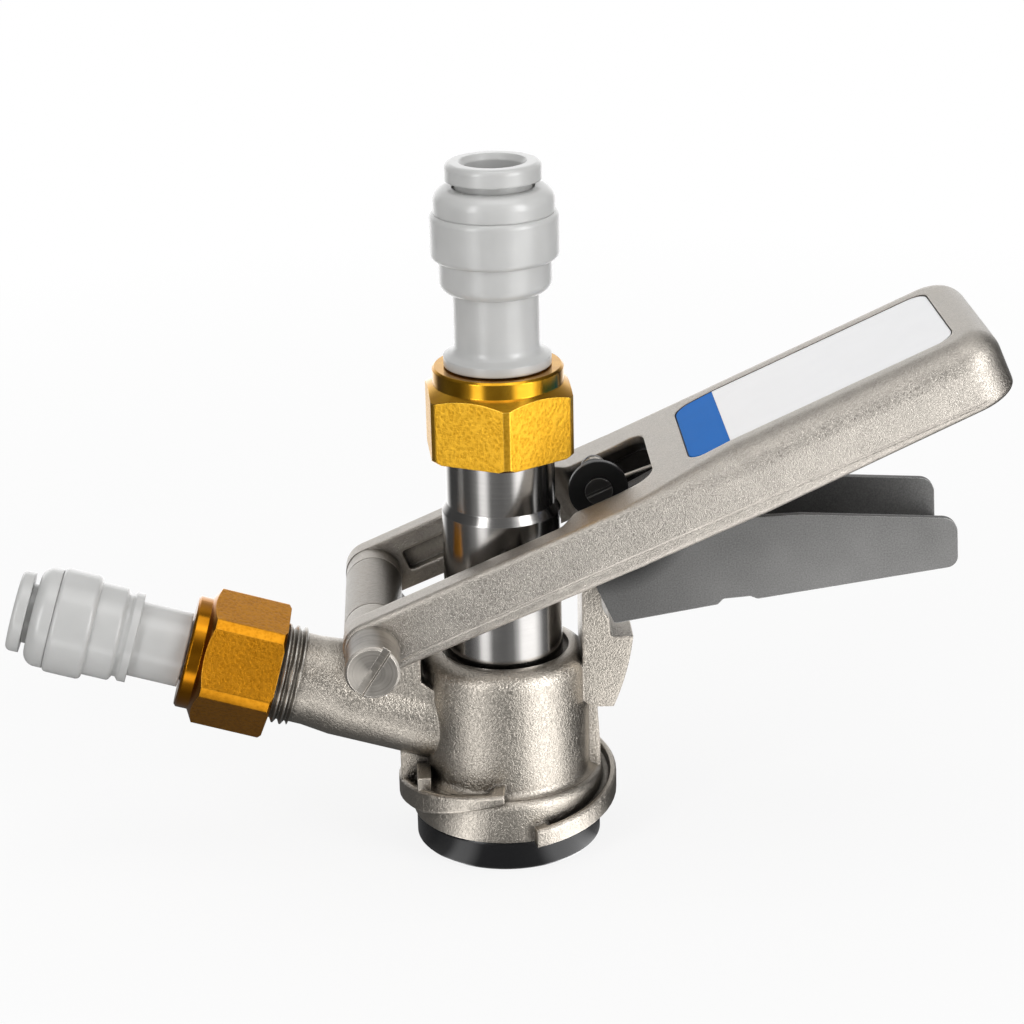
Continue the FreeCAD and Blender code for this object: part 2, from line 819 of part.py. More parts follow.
def across_cylinder(label, x, z, radius, near, far, bore=None):
    """Cylinder along Y between two distances from the middle plane; near < far, towards +Y."""
    body = new_body(label)
    sketch = new_sketch(body, "XZ_Plane", -near)
    circle(sketch, x, z, radius)
    if bore is not None:
        circle(sketch, x, z, bore)
    extrude(body, sketch, far - near, reverse=True)
    return body


for side, word in ((1, "far"), (-1, "near")):
    low, high = trunnion_inner, trunnion_outer
    span = (low, high) if side > 0 else (-high, -low)
    finish(across_cylinder(f"trunnion_pin_{word}", 0, trunnion_middle, dim.trunnion_radius, *span))
    low = dim.handle_half_width - dim.arm_thick + 0.2
    high = trunnion_outer - 0.1
    span = (low, high) if side > 0 else (-high, -low)
    finish(across_cylinder(f"trunnion_roller_{word}", 0, trunnion_middle, dim.roller_radius, *span,
                           bore=dim.trunnion_radius + dim.slide_gap))

# Check ball cage in the head of the probe: a seat below, a slotted lip above
seat_top = cage_bottom + dim.cage_seat_thick
lip_bottom = dim.probe_top - dim.cage_lip_thick
cage_inside = dim.cage_radius - dim.cage_wall
ball_cage = turned("ball_cage", [
    (dim.cage_hole_radius, cage_bottom),
    (dim.cage_radius, cage_bottom),
    (dim.cage_radius, dim.probe_top),
    (dim.cage_hole_radius, dim.probe_top),
    (dim.cage_hole_radius, lip_bottom),
    (cage_inside, lip_bottom),
    (cage_inside, seat_top + dim.cage_seat_thick),
    (dim.cage_hole_radius, seat_top),
])
side_plate(ball_cage, [
    (-cage_inside, lip_bottom),
    (cage_inside, lip_bottom),
    (cage_inside, dim.probe_top),
    (-cage_inside, dim.probe_top),
], dim.cage_wall, cut=True)
finish(ball_cage)


def ball(label, radius, height, place=None):
    """Sphere on the frame's Z axis."""
    sphere = doc.addObject("Part::Sphere", label)
    sphere.Label = label
    sphere.setExpression("Radius", radius.text)
    centre = Placement(Vector(0, 0, height.value), Rotation())
    if place is not None:
        place(sphere)
        sphere.Placement = sphere.Placement * centre
    else:
        sphere.Placement = centre
    return finish(sphere)


def seated(radius, hole):
    """Height of a ball's centre above the edge of the round hole that it rests on."""
    return root(radius * radius - hole * hole) + dim.slide_gap / 3


ball("beer_check_ball", dim.check_ball_radius,
     seat_top + seated(dim.check_ball_radius, dim.cage_hole_radius))


def union_nut(label, flats, turned_radius, start, hex_height, collar_radius, collar_height,
              bore, wall_start, hole, turn, place=None):
    """Hexagon nut with turned-off corners, a cone up to its collar and a loose end wall."""
    cone_start = start + hex_height - (turned_radius - collar_radius) * dim.nut_cone
    hex_top = start + hex_height
    top = hex_top + collar_height
    blank = turned(label + "_blank", [
        (bore, start),
        (turned_radius - dim.nut_lead, start),
        (turned_radius, start + dim.nut_lead),
        (turned_radius, cone_start),
        (collar_radius, hex_top),
        (collar_radius, top - 0.5),
        (collar_radius - 0.5, top),
        (hole, top),
        (hole, wall_start),
        (bore, wall_start),
    ])
    prism = doc.addObject("Part::Prism", label + "_prism")
    prism.Polygon = 6
    prism.setExpression("Circumradius", (flats / (2 * math.cos(math.pi / 6))).text)
    prism.setExpression("Height", (hex_height + collar_height).text)
    prism.Placement = Placement(Vector(0, 0, start.value), Rotation(Vector(0, 0, 1), turn.value))
    nut = boolean("Common", label, blank, prism)
    return finish(nut, place)


# Beer side, from the probe's head up: washer, nut, push-in fitting
flange_start = dim.probe_top + dim.washer_thick
flange_radius = dim.probe_neck_radius - 0.2
nut_wall = flange_start + dim.tail_flange_thick + dim.seat_gap
nut_top = dim.nut_bottom + dim.nut_hex_height + dim.nut_collar_height
union_nut("beer_nut", dim.nut_flats, dim.nut_turned_radius, dim.nut_bottom, dim.nut_hex_height,
          dim.nut_collar_radius, dim.nut_collar_height, dim.probe_neck_radius + dim.seat_gap, nut_wall,
          dim.tail_radius + dim.free_gap, dim.nut_turn)
finish(turned("beer_washer", [
    (dim.cage_radius + 0.4, dim.probe_top),
    (flange_radius, dim.probe_top),
    (flange_radius, flange_start),
    (dim.cage_radius + 0.4, flange_start),
]))


def push_in_fitting(prefix, start, flange, flange_end, tail, foot, way, tube, tall, profile,
                    housing, cap, cap_tall, collet_flange, collet_tall, travel, place=None):
    """Housing, cap, grab ring, O-ring and sliding collet of one push-in tube fitting.

    start and flange_end bound the captive flange; profile is the outside of the neck from
    the nut up to the housing; tall is the housing's top, where the cap's seam lies.
    """
    sleeve = tube + dim.sleeve_wall
    bore = housing - dim.housing_wall
    ring_section = (bore - tube) / 4
    floor = tall - dim.cap_depth
    stop = floor - dim.tube_depth
    finish(turned(prefix + "_fitting_body", [
        (way, start),
        (flange, start),
        (flange, flange_end),
        (tail, flange_end),
        (tail, foot),
    ] + profile + [
        (housing, tall, dim.housing_edge),
        (bore, tall),
        (bore, floor),
        (tube + dim.slide_gap, floor),
        (tube + dim.slide_gap, stop),
        (way, stop),
    ]), place)
    ring_top = floor + ring_section * 2
    grab_top = ring_top + dim.grab_thick
    cap_top = tall + cap_tall
    mouth = sleeve + dim.grab_thick
    finish(turned(prefix + "_fitting_cap", [
        (sleeve + dim.slide_gap, grab_top + dim.seat_gap),
        (bore - dim.seat_gap, grab_top + dim.seat_gap),
        (bore - dim.seat_gap, tall),
        (cap, tall),
        (cap, cap_top, dim.cap_round),
        (mouth, cap_top),
        (mouth, cap_top - dim.housing_edge),
        (sleeve + dim.slide_gap, cap_top - dim.housing_edge),
    ]), place)
    tooth = dim.grab_thick * 1.4
    finish(turned(prefix + "_grab_ring", [
        (tube + dim.free_gap, ring_top + tooth),
        (sleeve - tooth, ring_top + dim.seat_gap),
        (bore - dim.free_gap, ring_top + dim.seat_gap),
        (bore - dim.free_gap, grab_top),
        (sleeve - dim.free_gap, grab_top),
        (tube + dim.free_gap * 2, grab_top + tooth),
    ]), place)
    ring(prefix + "_fitting_o_ring", tube + dim.slide_gap + ring_section, floor + ring_section,
         ring_section - dim.slide_gap / 2, place)
    collet_low = grab_top + tooth + travel + dim.slide_gap
    flange_low = cap_top + travel
    flange_top = flange_low + collet_tall
    finish(turned(prefix + "_collet", [
        (tube + dim.slide_gap, collet_low),
        (sleeve, collet_low),
        (sleeve, flange_low),
        (collet_flange, flange_low),
        (collet_flange, flange_top, dim.housing_edge),
        (tube + dim.slide_gap * 2 + dim.grab_thick * 1.4, flange_top),
        (tube + dim.slide_gap, flange_top - dim.grab_thick * 2),
    ]), place)


foot_start = nut_top + dim.free_gap
stem_start = foot_start + dim.foot_height
stem_end = stem_start + dim.stem_height
waist_end = stem_end + dim.waist_height
beer_seam = waist_end + dim.housing_height
push_in_fitting(
    "beer", flange_start, flange_radius, flange_start + dim.tail_flange_thick, dim.tail_radius,
    foot_start, dim.beer_way_radius, dim.beer_tube_radius, beer_seam,
    [
        (dim.foot_radius, foot_start),
        (dim.foot_radius, foot_start + dim.foot_rim),
        (dim.stem_radius, stem_start, dim.foot_flare),
        (dim.stem_radius, stem_end),
        (dim.waist_radius, stem_end, dim.waist_round),
        (dim.waist_radius, waist_end),
        (dim.housing_radius, waist_end, dim.housing_edge),
    ],
    dim.housing_radius, dim.cap_radius, dim.cap_height, dim.collet_flange_radius, dim.collet_flange_height,
    dim.collet_travel)

# Gas side, outwards along the arm: check valve, washer, nut, push-in fitting
gas_flange_start = dim.thread_end + dim.washer_thick
gas_flange_radius = dim.thread_radius - 0.2
gas_flange_end = gas_flange_start + dim.tail_flange_thick
gas_nut_top = dim.gas_nut_start + dim.gas_nut_hex_height + dim.gas_nut_collar_height
valve_seat_bottom = dim.thread_end - dim.valve_seat_thick
valve_outside = dim.valve_bore_radius - dim.seat_gap
valve_floor_top = valve_bottom + dim.valve_floor_thick
finish(turned("gas_valve_seat", [
    (dim.valve_hole_radius, valve_seat_bottom),
    (valve_outside, valve_seat_bottom),
    (valve_outside, dim.thread_end),
    (dim.valve_hole_radius, dim.thread_end),
]), gas_place)
finish(turned("gas_valve_cage", [
    (dim.valve_hole_radius, valve_bottom),
    (valve_outside, valve_bottom),
    (valve_outside, valve_seat_bottom),
    (dim.gas_ball_radius + dim.free_gap, valve_seat_bottom),
    (dim.gas_ball_radius + dim.free_gap, valve_floor_top),
    (dim.valve_hole_radius, valve_floor_top),
]), gas_place)
ball("gas_check_ball", dim.gas_ball_radius,
     valve_floor_top + seated(dim.gas_ball_radius, dim.valve_hole_radius), gas_place)
finish(turned("gas_washer", [
    (dim.gas_way_radius + 1.0, dim.thread_end),
    (gas_flange_radius, dim.thread_end),
    (gas_flange_radius, gas_flange_start),
    (dim.gas_way_radius + 1.0, gas_flange_start),
]), gas_place)
union_nut("gas_nut", dim.gas_nut_flats, dim.gas_nut_turned_radius, dim.gas_nut_start, dim.gas_nut_hex_height,
          dim.gas_nut_collar_radius, dim.gas_nut_collar_height, dim.thread_radius + dim.seat_gap,
          gas_flange_end + dim.seat_gap, dim.gas_tail_radius + dim.free_gap, dim.gas_nut_turn, gas_place)
gas_stem_start = gas_nut_top + dim.free_gap
gas_stem_end = gas_stem_start + dim.gas_stem_height
bead_end = gas_stem_end + dim.bead_height
gas_waist_end = bead_end + dim.gas_waist_height
gas_seam = gas_waist_end + dim.gas_housing_height
push_in_fitting(
    "gas", gas_flange_start, gas_flange_radius, gas_flange_end, dim.gas_tail_radius,
    gas_stem_start, dim.gas_way_out_radius, dim.gas_tube_radius, gas_seam,
    [
        (dim.gas_stem_radius, gas_stem_start),
        (dim.gas_stem_radius, gas_stem_end),
        (dim.bead_radius, gas_stem_end),
        (dim.bead_radius, bead_end),
        (dim.gas_neck_radius, bead_end + dim.bead_edge),
        (dim.gas_neck_radius, bead_end + dim.bead_edge * 2),
        (dim.gas_waist_radius, bead_end + dim.bead_edge * 3, dim.bead_edge),
        (dim.gas_waist_radius, gas_waist_end),
        (dim.gas_housing_radius, gas_waist_end, dim.housing_edge),
    ],
    dim.gas_housing_radius, dim.gas_cap_radius, dim.gas_cap_height, dim.gas_collet_flange_radius,
    dim.gas_collet_flange_height, dim.gas_collet_travel, gas_place)

# Pivot screw through both eyes, with a tall slotted head
screw = new_body("pivot_screw")
shank = new_sketch(screw, "XZ_Plane", dim.handle_half_width + dim.head_length)
circle(shank, 0, 0, dim.head_radius)
extrude(screw, shank, dim.head_length, reverse=True)
soften(screw, "Chamfer", 0.5,
       lambda edge: edge.Curve.TypeId == "Part::GeomCircle" and edge.CenterOfMass.y < -30)
shank = new_sketch(screw, "XZ_Plane", dim.handle_half_width)
circle(shank, 0, 0, dim.screw_radius)
extrude(screw, shank, dim.handle_half_width * 2 - 1, reverse=True)
slot = new_sketch(screw, "XZ_Plane", dim.handle_half_width + dim.head_length)
half_slot = dim.slot_width / 2
slot_reach = dim.head_radius + 1
slot_cos, slot_sin = cosine(dim.slot_turn - dim.handle_tilt), sine(dim.slot_turn - dim.handle_tilt)
outline(slot, [
    (-slot_reach * slot_cos + half_slot * slot_sin, -slot_reach * slot_sin - half_slot * slot_cos),
    (slot_reach * slot_cos + half_slot * slot_sin, slot_reach * slot_sin - half_slot * slot_cos),
    (slot_reach * slot_cos - half_slot * slot_sin, slot_reach * slot_sin + half_slot * slot_cos),
    (-slot_reach * slot_cos - half_slot * slot_sin, -slot_reach * slot_sin + half_slot * slot_cos),
])
extrude(screw, slot, dim.slot_depth, cut=True)
finish(screw, handle_place)

# Handle: rounded arms, a ruled loft that deepens the rounding, and the rounded grip
handle = new_body("handle_blank")
side_plate(handle, [
    (-dim.eye_radius, -dim.eye_radius, dim.eye_radius - 0.2),
    (dim.fork_bend, dim.handle_low),
    (dim.fork_bend, dim.handle_high),
    (-dim.eye_radius, dim.handle_high, dim.eye_radius - 0.2),
], dim.handle_half_width)
side_y = dim.handle_half_width.value


def around_side(edge):
    """Edges that lie in one of the handle's two outer side faces."""
    return all(abs(abs(vertex.Y) - side_y) < 1e-4 for vertex in edge.Vertexes) and (
        abs(edge.Vertexes[0].Y - edge.Vertexes[-1].Y) < 1e-4)


bend_x = dim.fork_bend.value
soften(handle, "Fillet", dim.arm_round, lambda edge: around_side(edge) and not all(
    abs(vertex.X - bend_x) < 1e-4 for vertex in edge.Vertexes))

handle_neck = new_body("handle_neck")
sections = []
lower_round = dim.arm_round + dim.blend_step
for station, high, corner in (
    (dim.fork_bend, dim.handle_high, lower_round),
    (dim.grip_start, dim.handle_high_grip, dim.grip_round + dim.blend_step),
):
    section = new_sketch(handle_neck, "YZ_Plane", station)
    outline(section, [
        (-dim.handle_half_width, dim.handle_low, lower_round),
        (dim.handle_half_width, dim.handle_low, lower_round),
        (dim.handle_half_width, high, corner),
        (-dim.handle_half_width, high, corner),
    ])
    sections.append(section)
neck_loft = handle_neck.newObject("PartDesign::AdditiveLoft", "handle_neck_loft")
neck_loft.Profile = sections[0]
neck_loft.Sections = sections[1:]
neck_loft.Ruled = True
doc.recompute()

handle_grip = new_body("handle_grip")
side_plate(handle_grip, [
    (dim.grip_start, dim.handle_low),
    (dim.handle_end, dim.handle_low_end),
    (dim.handle_end, dim.handle_high_end),
    (dim.grip_start, dim.handle_high_grip),
], dim.handle_half_width)
end_x, grip_x = dim.handle_end.value, dim.grip_start.value
soften(handle_grip, "Fillet", dim.grip_corner, lambda edge: all(
    abs(vertex.X - end_x) < 1e-4 for vertex in edge.Vertexes) and (
    abs(edge.Vertexes[0].Z - edge.Vertexes[-1].Z) > 5))


def grip_rim(edge, upper):
    """The grip's upper or lower rim, along both sides and round its free end."""
    at_start = all(abs(vertex.X - grip_x) < 1e-4 for vertex in edge.Vertexes)
    upright = abs(edge.Vertexes[0].Z - edge.Vertexes[-1].Z) > 5
    return not at_start and not upright and (edge.CenterOfMass.z > 0) == upper


soften(handle_grip, "Fillet", dim.grip_round, lambda edge: grip_rim(edge, True))
soften(handle_grip, "Fillet", dim.arm_round, lambda edge: grip_rim(edge, False))
join = handle.newObject("PartDesign::Boolean", "handle_join")
join.Type = "Fuse"
join.setObjects([handle_neck, handle_grip])
doc.recompute()

# Fork: the gap between the arms steps in to the trigger's opening
fork_half = dim.handle_half_width - dim.arm_thick
fork = new_sketch(handle, "XY_Plane", -20)
outline(fork, [
    (-dim.eye_radius * 2, -fork_half),
    (dim.fork_end - 2, -fork_half, 3.0),
    (dim.fork_end + 1.5, -dim.opening_half_width, 2.0),
    (dim.opening_end, -dim.opening_half_width, dim.opening_corner),
    (dim.opening_end, dim.opening_half_width, dim.opening_corner),
    (dim.fork_end + 1.5, dim.opening_half_width, 2.0),
    (dim.fork_end - 2, fork_half, 3.0),
    (-dim.eye_radius * 2, fork_half),
])
extrude(handle, fork, 60, reverse=True, cut=True)

# Hollow under the deck and the grip
hollow_start = dim.fork_end + 4
wall_end = dim.handle_end - dim.grip_wall
side_plate(handle, [
    (hollow_start, -20),
    (wall_end, -20),
    (wall_end, dim.handle_high_end - dim.grip_wall - 0.2, 3.0),
    (dim.grip_start, dim.handle_high_grip - dim.grip_wall),
    (dim.fork_bend, dim.handle_high - dim.grip_wall),
    (hollow_start, dim.handle_high - dim.grip_wall, 2.0),
], dim.handle_half_width - dim.grip_wall, cut=True)

# Grooves that carry the probe's rollers
groove_half = dim.roller_radius + dim.roller_play
for side in (1, -1):
    groove = new_sketch(handle, "XZ_Plane", -side * fork_half)
    outline(groove, [
        (dim.groove_start, dim.groove_middle - groove_half, 1.0),
        (dim.groove_end, dim.groove_middle - groove_half, 1.0),
        (dim.groove_end, dim.groove_middle + groove_half, 1.0),
        (dim.groove_start, dim.groove_middle + groove_half, 1.0),
    ])
    extrude(handle, groove, dim.groove_depth, reverse=side < 0, cut=True)

# Eye bosses that close up to the pivot barrel, then the screw's bore
boss_inner = dim.barrel_half_width + 0.3
for side in (1, -1):
    boss = new_sketch(handle, "XZ_Plane", -side * boss_inner)
    circle(boss, 0, 0, dim.eye_radius)
    extrude(handle, boss, fork_half - boss_inner + 0.5, reverse=side > 0)
pivot_bore = new_sketch(handle, "XZ_Plane")
circle(pivot_bore, 0, 0, dim.screw_radius + dim.seat_gap)
extrude(handle, pivot_bore, dim.handle_half_width * 2 + 2, symmetric=True, cut=True)

# Tongue under the deck that holds the trigger pin
deck_under = dim.handle_high - dim.grip_wall
side_plate(handle, [
    (dim.trigger_pin_along - 3, dim.trigger_pin_up - 2.4),
    (dim.trigger_pin_along + 1, dim.trigger_pin_up - 4),
    (dim.opening_end - 4, -4.5),
    (dim.opening_end + 7, -3.5),
    (dim.opening_end + 7, deck_under + 1.5),
    (dim.opening_end - 1.5, deck_under - 0.5),
    (dim.trigger_pin_along + 5, deck_under - 1),
    (dim.trigger_pin_along + 3.4, dim.trigger_pin_up + 1.5),
], dim.tongue_half_width)
tongue_eye = new_sketch(handle, "XZ_Plane")
circle(tongue_eye, dim.trigger_pin_along, dim.trigger_pin_up, dim.tongue_eye_radius)
extrude(handle, tongue_eye, dim.tongue_half_width * 2, symmetric=True)
pin_bore = new_sketch(handle, "XZ_Plane")
circle(pin_bore, dim.trigger_pin_along, dim.trigger_pin_up, dim.trigger_pin_radius + dim.seat_gap)
extrude(handle, pin_bore, dim.tongue_half_width * 2 + 2, symmetric=True, cut=True)

# Label plates in a shallow recess along the top, which turns a little where the grip starts
neck_slope = (dim.handle_high_grip - dim.handle_high) / (dim.grip_start - dim.fork_bend)
grip_slope = (dim.handle_high_end - dim.handle_high_grip) / (dim.handle_end - dim.grip_start)


def top_height(along):
    slope = neck_slope if along.value < dim.grip_start.value else grip_slope
    return dim.handle_high_grip + (along - dim.grip_start) * slope


def label_solid(label, stations, half_width, above, rounded_ends):
    """Plate under the top face through these stations, with its corners rounded at some ends."""
    plate = new_body(label)
    lower = [(station, top_height(station) - dim.label_depth) for station in stations]
    upper = [(station, top_height(station) + above) for station in reversed(stations)]
    side_plate(plate, lower + upper, half_width)
    places = [station.value for station in rounded_ends]
    soften(plate, "Fillet", dim.label_corner, lambda edge: (
        abs(edge.Vertexes[0].Y - edge.Vertexes[-1].Y) < 1e-4
        and abs(edge.Vertexes[0].X - edge.Vertexes[-1].X) < 1e-4
        and any(abs(edge.Vertexes[0].X - place) < 1e-4 for place in places)))
    return plate


recess_start = dim.label_start - dim.label_gap
recess_end = dim.label_end + dim.label_gap
label_cut = label_solid("label_cut", [recess_start, dim.grip_start, recess_end],
                        dim.label_half_width + dim.label_gap, dim.grip_wall, [recess_start, recess_end])
handle_solid = boolean("Cut", "handle", handle, label_cut)
finish(handle_solid)
handle_place(handle)
handle_place(label_cut)
label_blue = label_solid("label_blue", [dim.label_start, dim.grip_start], dim.label_half_width,
                         -dim.label_sink, [dim.label_start])
label_white = label_solid("label_white", [dim.grip_start, dim.label_end], dim.label_half_width,
                          -dim.label_sink, [dim.label_end])
finish(label_blue, handle_place)
finish(label_white, handle_place)

# Trigger pin: slotted head towards -Y, riveted collar at the far end
ear_inner = dim.tongue_half_width + dim.free_gap
ear_outer = ear_inner + dim.ear_thick
flange_outer = ear_outer + 0.1 + dim.spool_flange
pin_far = ear_outer + dim.coil_pitch * (dim.whole_turns + 1) + 1.6
pin = new_body("trigger_pin")
head = new_sketch(pin, "XZ_Plane", flange_outer + 0.9)
circle(head, dim.trigger_pin_along, dim.trigger_pin_up, dim.trigger_head_radius)
extrude(pin, head, 0.8, reverse=True)
shank = new_sketch(pin, "XZ_Plane", flange_outer + 0.2)
circle(shank, dim.trigger_pin_along, dim.trigger_pin_up, dim.trigger_pin_radius)
extrude(pin, shank, flange_outer + pin_far, reverse=True)
collar = new_sketch(pin, "XZ_Plane", -pin_far + 0.3)
circle(collar, dim.trigger_pin_along, dim.trigger_pin_up, dim.trigger_pin_radius + 1.2)
extrude(pin, collar, 0.8, reverse=True)
pin_slot = new_sketch(pin, "XZ_Plane", flange_outer + 0.9)
outline(pin_slot, [
    (dim.trigger_pin_along - 4, dim.trigger_pin_up - 0.35),
    (dim.trigger_pin_along + 4, dim.trigger_pin_up - 0.35),
    (dim.trigger_pin_along + 4, dim.trigger_pin_up + 0.35),
    (dim.trigger_pin_along - 4, dim.trigger_pin_up + 0.35),
])
extrude(pin, pin_slot, 0.5, cut=True)
finish(pin, handle_place)

# Spool flange beside the near ear, in the handle's frame
spool = new_body("trigger_spool")
disc = new_sketch(spool, "XZ_Plane", flange_outer)
circle(disc, dim.trigger_pin_along, dim.trigger_pin_up, dim.spool_radius)
circle(disc, dim.trigger_pin_along, dim.trigger_pin_up, dim.trigger_pin_radius + dim.slide_gap)
extrude(spool, disc, dim.spool_flange, reverse=True)
finish(spool, handle_place)

# Trigger: folded sheet channel with two ears on the pin, drawn from the pin's centre
tilt_x, tilt_z = cosine(dim.handle_tilt), sine(dim.handle_tilt)
pin_x = dim.pivot_x + dim.trigger_pin_along * tilt_x - dim.trigger_pin_up * tilt_z
pin_z = dim.pivot_z + dim.trigger_pin_along * tilt_z + dim.trigger_pin_up * tilt_x


def from_pin(across, up, *rounding):
    return (pin_x + across, pin_z + up) + rounding


trigger = new_body("trigger_blank")
side_plate(trigger, [
    from_pin(-1.3, -19.8),
    from_pin(2.6, -28.4, 0.8),
    from_pin(25.5, -24.8, 1.0),
    from_pin(26.7, -23.5, 1.0),
    from_pin(32.7, -23.1, 1.0),
    from_pin(34.3, -23.8, 1.0),
    from_pin(dim.trigger_length, -17.7, 2.5),
    from_pin(dim.trigger_length - 0.6, -6.5, 3.5),
    from_pin(43.4, -4.3),
    from_pin(9.7, -5.2, 6.0),
    from_pin(1.2, -14.2, 3.0),
], dim.trigger_half_width)
inner_half = dim.trigger_half_width - dim.sheet_thick
side_plate(trigger, [
    from_pin(-11.3, -18.3),
    from_pin(3.3, -26.5),
    from_pin(25.3, -23.2),
    from_pin(26.3, -21.9),
    from_pin(33.0, -21.5),
    from_pin(34.7, -22.2),
    from_pin(dim.trigger_length + 10, -14.2),
    from_pin(dim.trigger_length + 10, 5.3),
    from_pin(-11.3, 5.3),
], inner_half, cut=True)

# Cross wall between the side plates, and the two ears that reach up to the pin
side_plate(trigger, [
    from_pin(8.9, -26.3),
    from_pin(8.9 + dim.sheet_thick, -26.0),
    from_pin(8.9 + dim.sheet_thick, -13.2),
    from_pin(8.9, -13.2),
], inner_half + 0.2)
for side in (1, -1):
    ear = new_sketch(trigger, "XZ_Plane", -side * ear_inner)
    outline(ear, [
        from_pin(-3.6, -2.0),
        from_pin(6.3, -11.2),
        from_pin(8.9, -21.7),
        from_pin(12.5, -21.7),
        from_pin(12.5, -11.7),
        from_pin(4.2, -1.0),
    ])
    extrude(trigger, ear, dim.ear_thick, reverse=side > 0)
    eye = new_sketch(trigger, "XZ_Plane", -side * ear_inner)
    circle(eye, pin_x, pin_z, dim.tongue_eye_radius)
    extrude(trigger, eye, dim.ear_thick, reverse=side > 0)
ear_bore = new_sketch(trigger, "XZ_Plane")
circle(ear_bore, pin_x, pin_z, dim.trigger_pin_radius + dim.slide_gap)
extrude(trigger, ear_bore, ear_outer * 2 + 1, symmetric=True, cut=True)

# The channel is cut back to an arc about the pivot, so that it passes the lug
sweep_zone = new_body("sweep_zone")
side_plate(sweep_zone, [
    from_pin(-pin_x, -45),
    from_pin(39, -45),
    from_pin(39, -7.7),
    from_pin(-pin_x, -7.7),
], inner_half)
sweep_round = new_body("sweep_round")
sweep_sketch = new_sketch(sweep_round, "XZ_Plane")
circle(sweep_sketch, dim.pivot_x, dim.pivot_z, dim.lug_reach + dim.free_gap)
extrude(sweep_round, sweep_sketch, dim.handle_half_width * 2, symmetric=True)
sweep_tool = boolean("Common", "sweep_tool", sweep_zone, sweep_round)
trigger_solid = boolean("Cut", "trigger", trigger, sweep_tool)
finish(trigger_solid)

# Torsion spring on the far side of the ears: a coil whose legs leave along its tangents,
# one under the deck and one behind the trigger's cross wall
coil_radius = dim.trigger_pin_radius + dim.spring_play + dim.spring_wire_radius


def spring_shape():
    """One bent path, leg to leg, with a round wire of eight sides along it."""
    middle, pitch = coil_radius.value, dim.coil_pitch.value
    first_angle = 90 - dim.deck_leg_angle.value
    last_angle = -90 - dim.wall_leg_angle.value
    swept = 360 * dim.whole_turns.value + (last_angle - first_angle) % 360
    steps = round(swept / 360 * dim.turn_steps.value)
    path = []
    for number in range(steps + 1):
        angle = math.radians(first_angle + swept * number / steps)
        height = pitch * swept / 360 * number / steps
        path.append(Vector(middle * math.cos(angle), middle * math.sin(angle), height))
    deck, wall = math.radians(dim.deck_leg_angle.value), math.radians(dim.wall_leg_angle.value)
    deck_way = Vector(math.cos(deck), -math.sin(deck), 0)
    wall_way = Vector(math.cos(wall), -math.sin(wall), 0)
    path.insert(0, path[0] + deck_way * dim.deck_leg.value)
    path.append(path[-1] + wall_way * dim.wall_leg.value)
    section = Part.makePolygon([
        path[0] + Rotation(deck_way, 45 * number) * Vector(0, 0, dim.spring_wire_radius.value)
        for number in range(9)
    ])
    return Part.Wire(Part.makePolygon(path)).makePipeShell([section], True, True, 1)


spring = shape_object("trigger_spring", spring_shape())
turn_across = Rotation(Vector(1, 0, 0), -90)
spring_near = ear_outer + dim.spring_wire_radius + dim.free_gap / 2
spring_local = Placement(
    Vector(dim.trigger_pin_along.value, spring_near.value, dim.trigger_pin_up.value), turn_across)
handle_place(spring)
spring.Placement = spring.Placement * spring_local
finish(spring)


# Every object is checked before anything is written
doc.recompute()
for item in doc.Objects:
    if "Invalid" in item.State or "Error" in item.State:
        raise RuntimeError(f"{item.Label}: {item.State}")
os.makedirs(OUTPUT_FOLDER, exist_ok=True)
for piece in pieces:
    if piece.Shape.isNull() or not piece.Shape.isValid():
        raise RuntimeError(piece.Label + ": bad shape")
    if len(piece.Shape.Solids) != 1:
        raise RuntimeError(f"{piece.Label}: {len(piece.Shape.Solids)} solids")
    piece.Shape.exportStep(f"{OUTPUT_FOLDER}/{piece.Label}.step")
print(len(pieces), "pieces written")
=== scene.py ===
# %% [markdown]
# # A keg coupler, dressed on its CAD frame
#
# The solids and joints come from the CAD model. This lesson gives them their looks: a
# bead-blasted stainless casting, gilded brass union nuts, glossy grey push-in fittings, a
# polished probe, a satin sheet-steel trigger and a rubber seal.
#
# Blender measures in metres, so a size in millimetres is written times MILLIMETRE. Places on
# a piece are counted from the joints of the CAD model. The few sizes that a finish needs of a
# piece, such as a nut's corner radius, are typed, and change by hand when the model does.

import json
import math

import bmesh
import bpy
from mathutils import Matrix, Vector


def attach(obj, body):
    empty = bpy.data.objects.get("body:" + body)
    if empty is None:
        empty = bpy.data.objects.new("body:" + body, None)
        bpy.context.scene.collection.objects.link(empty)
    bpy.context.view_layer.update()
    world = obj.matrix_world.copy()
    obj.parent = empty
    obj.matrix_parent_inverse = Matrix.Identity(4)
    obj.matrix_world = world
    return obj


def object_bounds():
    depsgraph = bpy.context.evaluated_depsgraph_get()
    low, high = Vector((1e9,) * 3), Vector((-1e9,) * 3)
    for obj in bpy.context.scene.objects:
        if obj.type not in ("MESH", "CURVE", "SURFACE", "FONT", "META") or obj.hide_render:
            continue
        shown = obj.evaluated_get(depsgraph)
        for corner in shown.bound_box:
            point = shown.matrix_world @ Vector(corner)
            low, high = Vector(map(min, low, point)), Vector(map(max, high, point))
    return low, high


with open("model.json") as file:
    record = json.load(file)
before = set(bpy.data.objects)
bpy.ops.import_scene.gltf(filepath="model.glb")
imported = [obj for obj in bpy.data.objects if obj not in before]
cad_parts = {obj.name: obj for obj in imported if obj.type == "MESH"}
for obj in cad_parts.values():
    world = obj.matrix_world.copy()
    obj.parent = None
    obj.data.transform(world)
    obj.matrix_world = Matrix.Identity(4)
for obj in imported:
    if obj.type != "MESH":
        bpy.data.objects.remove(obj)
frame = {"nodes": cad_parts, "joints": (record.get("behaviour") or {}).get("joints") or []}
cad_low, cad_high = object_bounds()
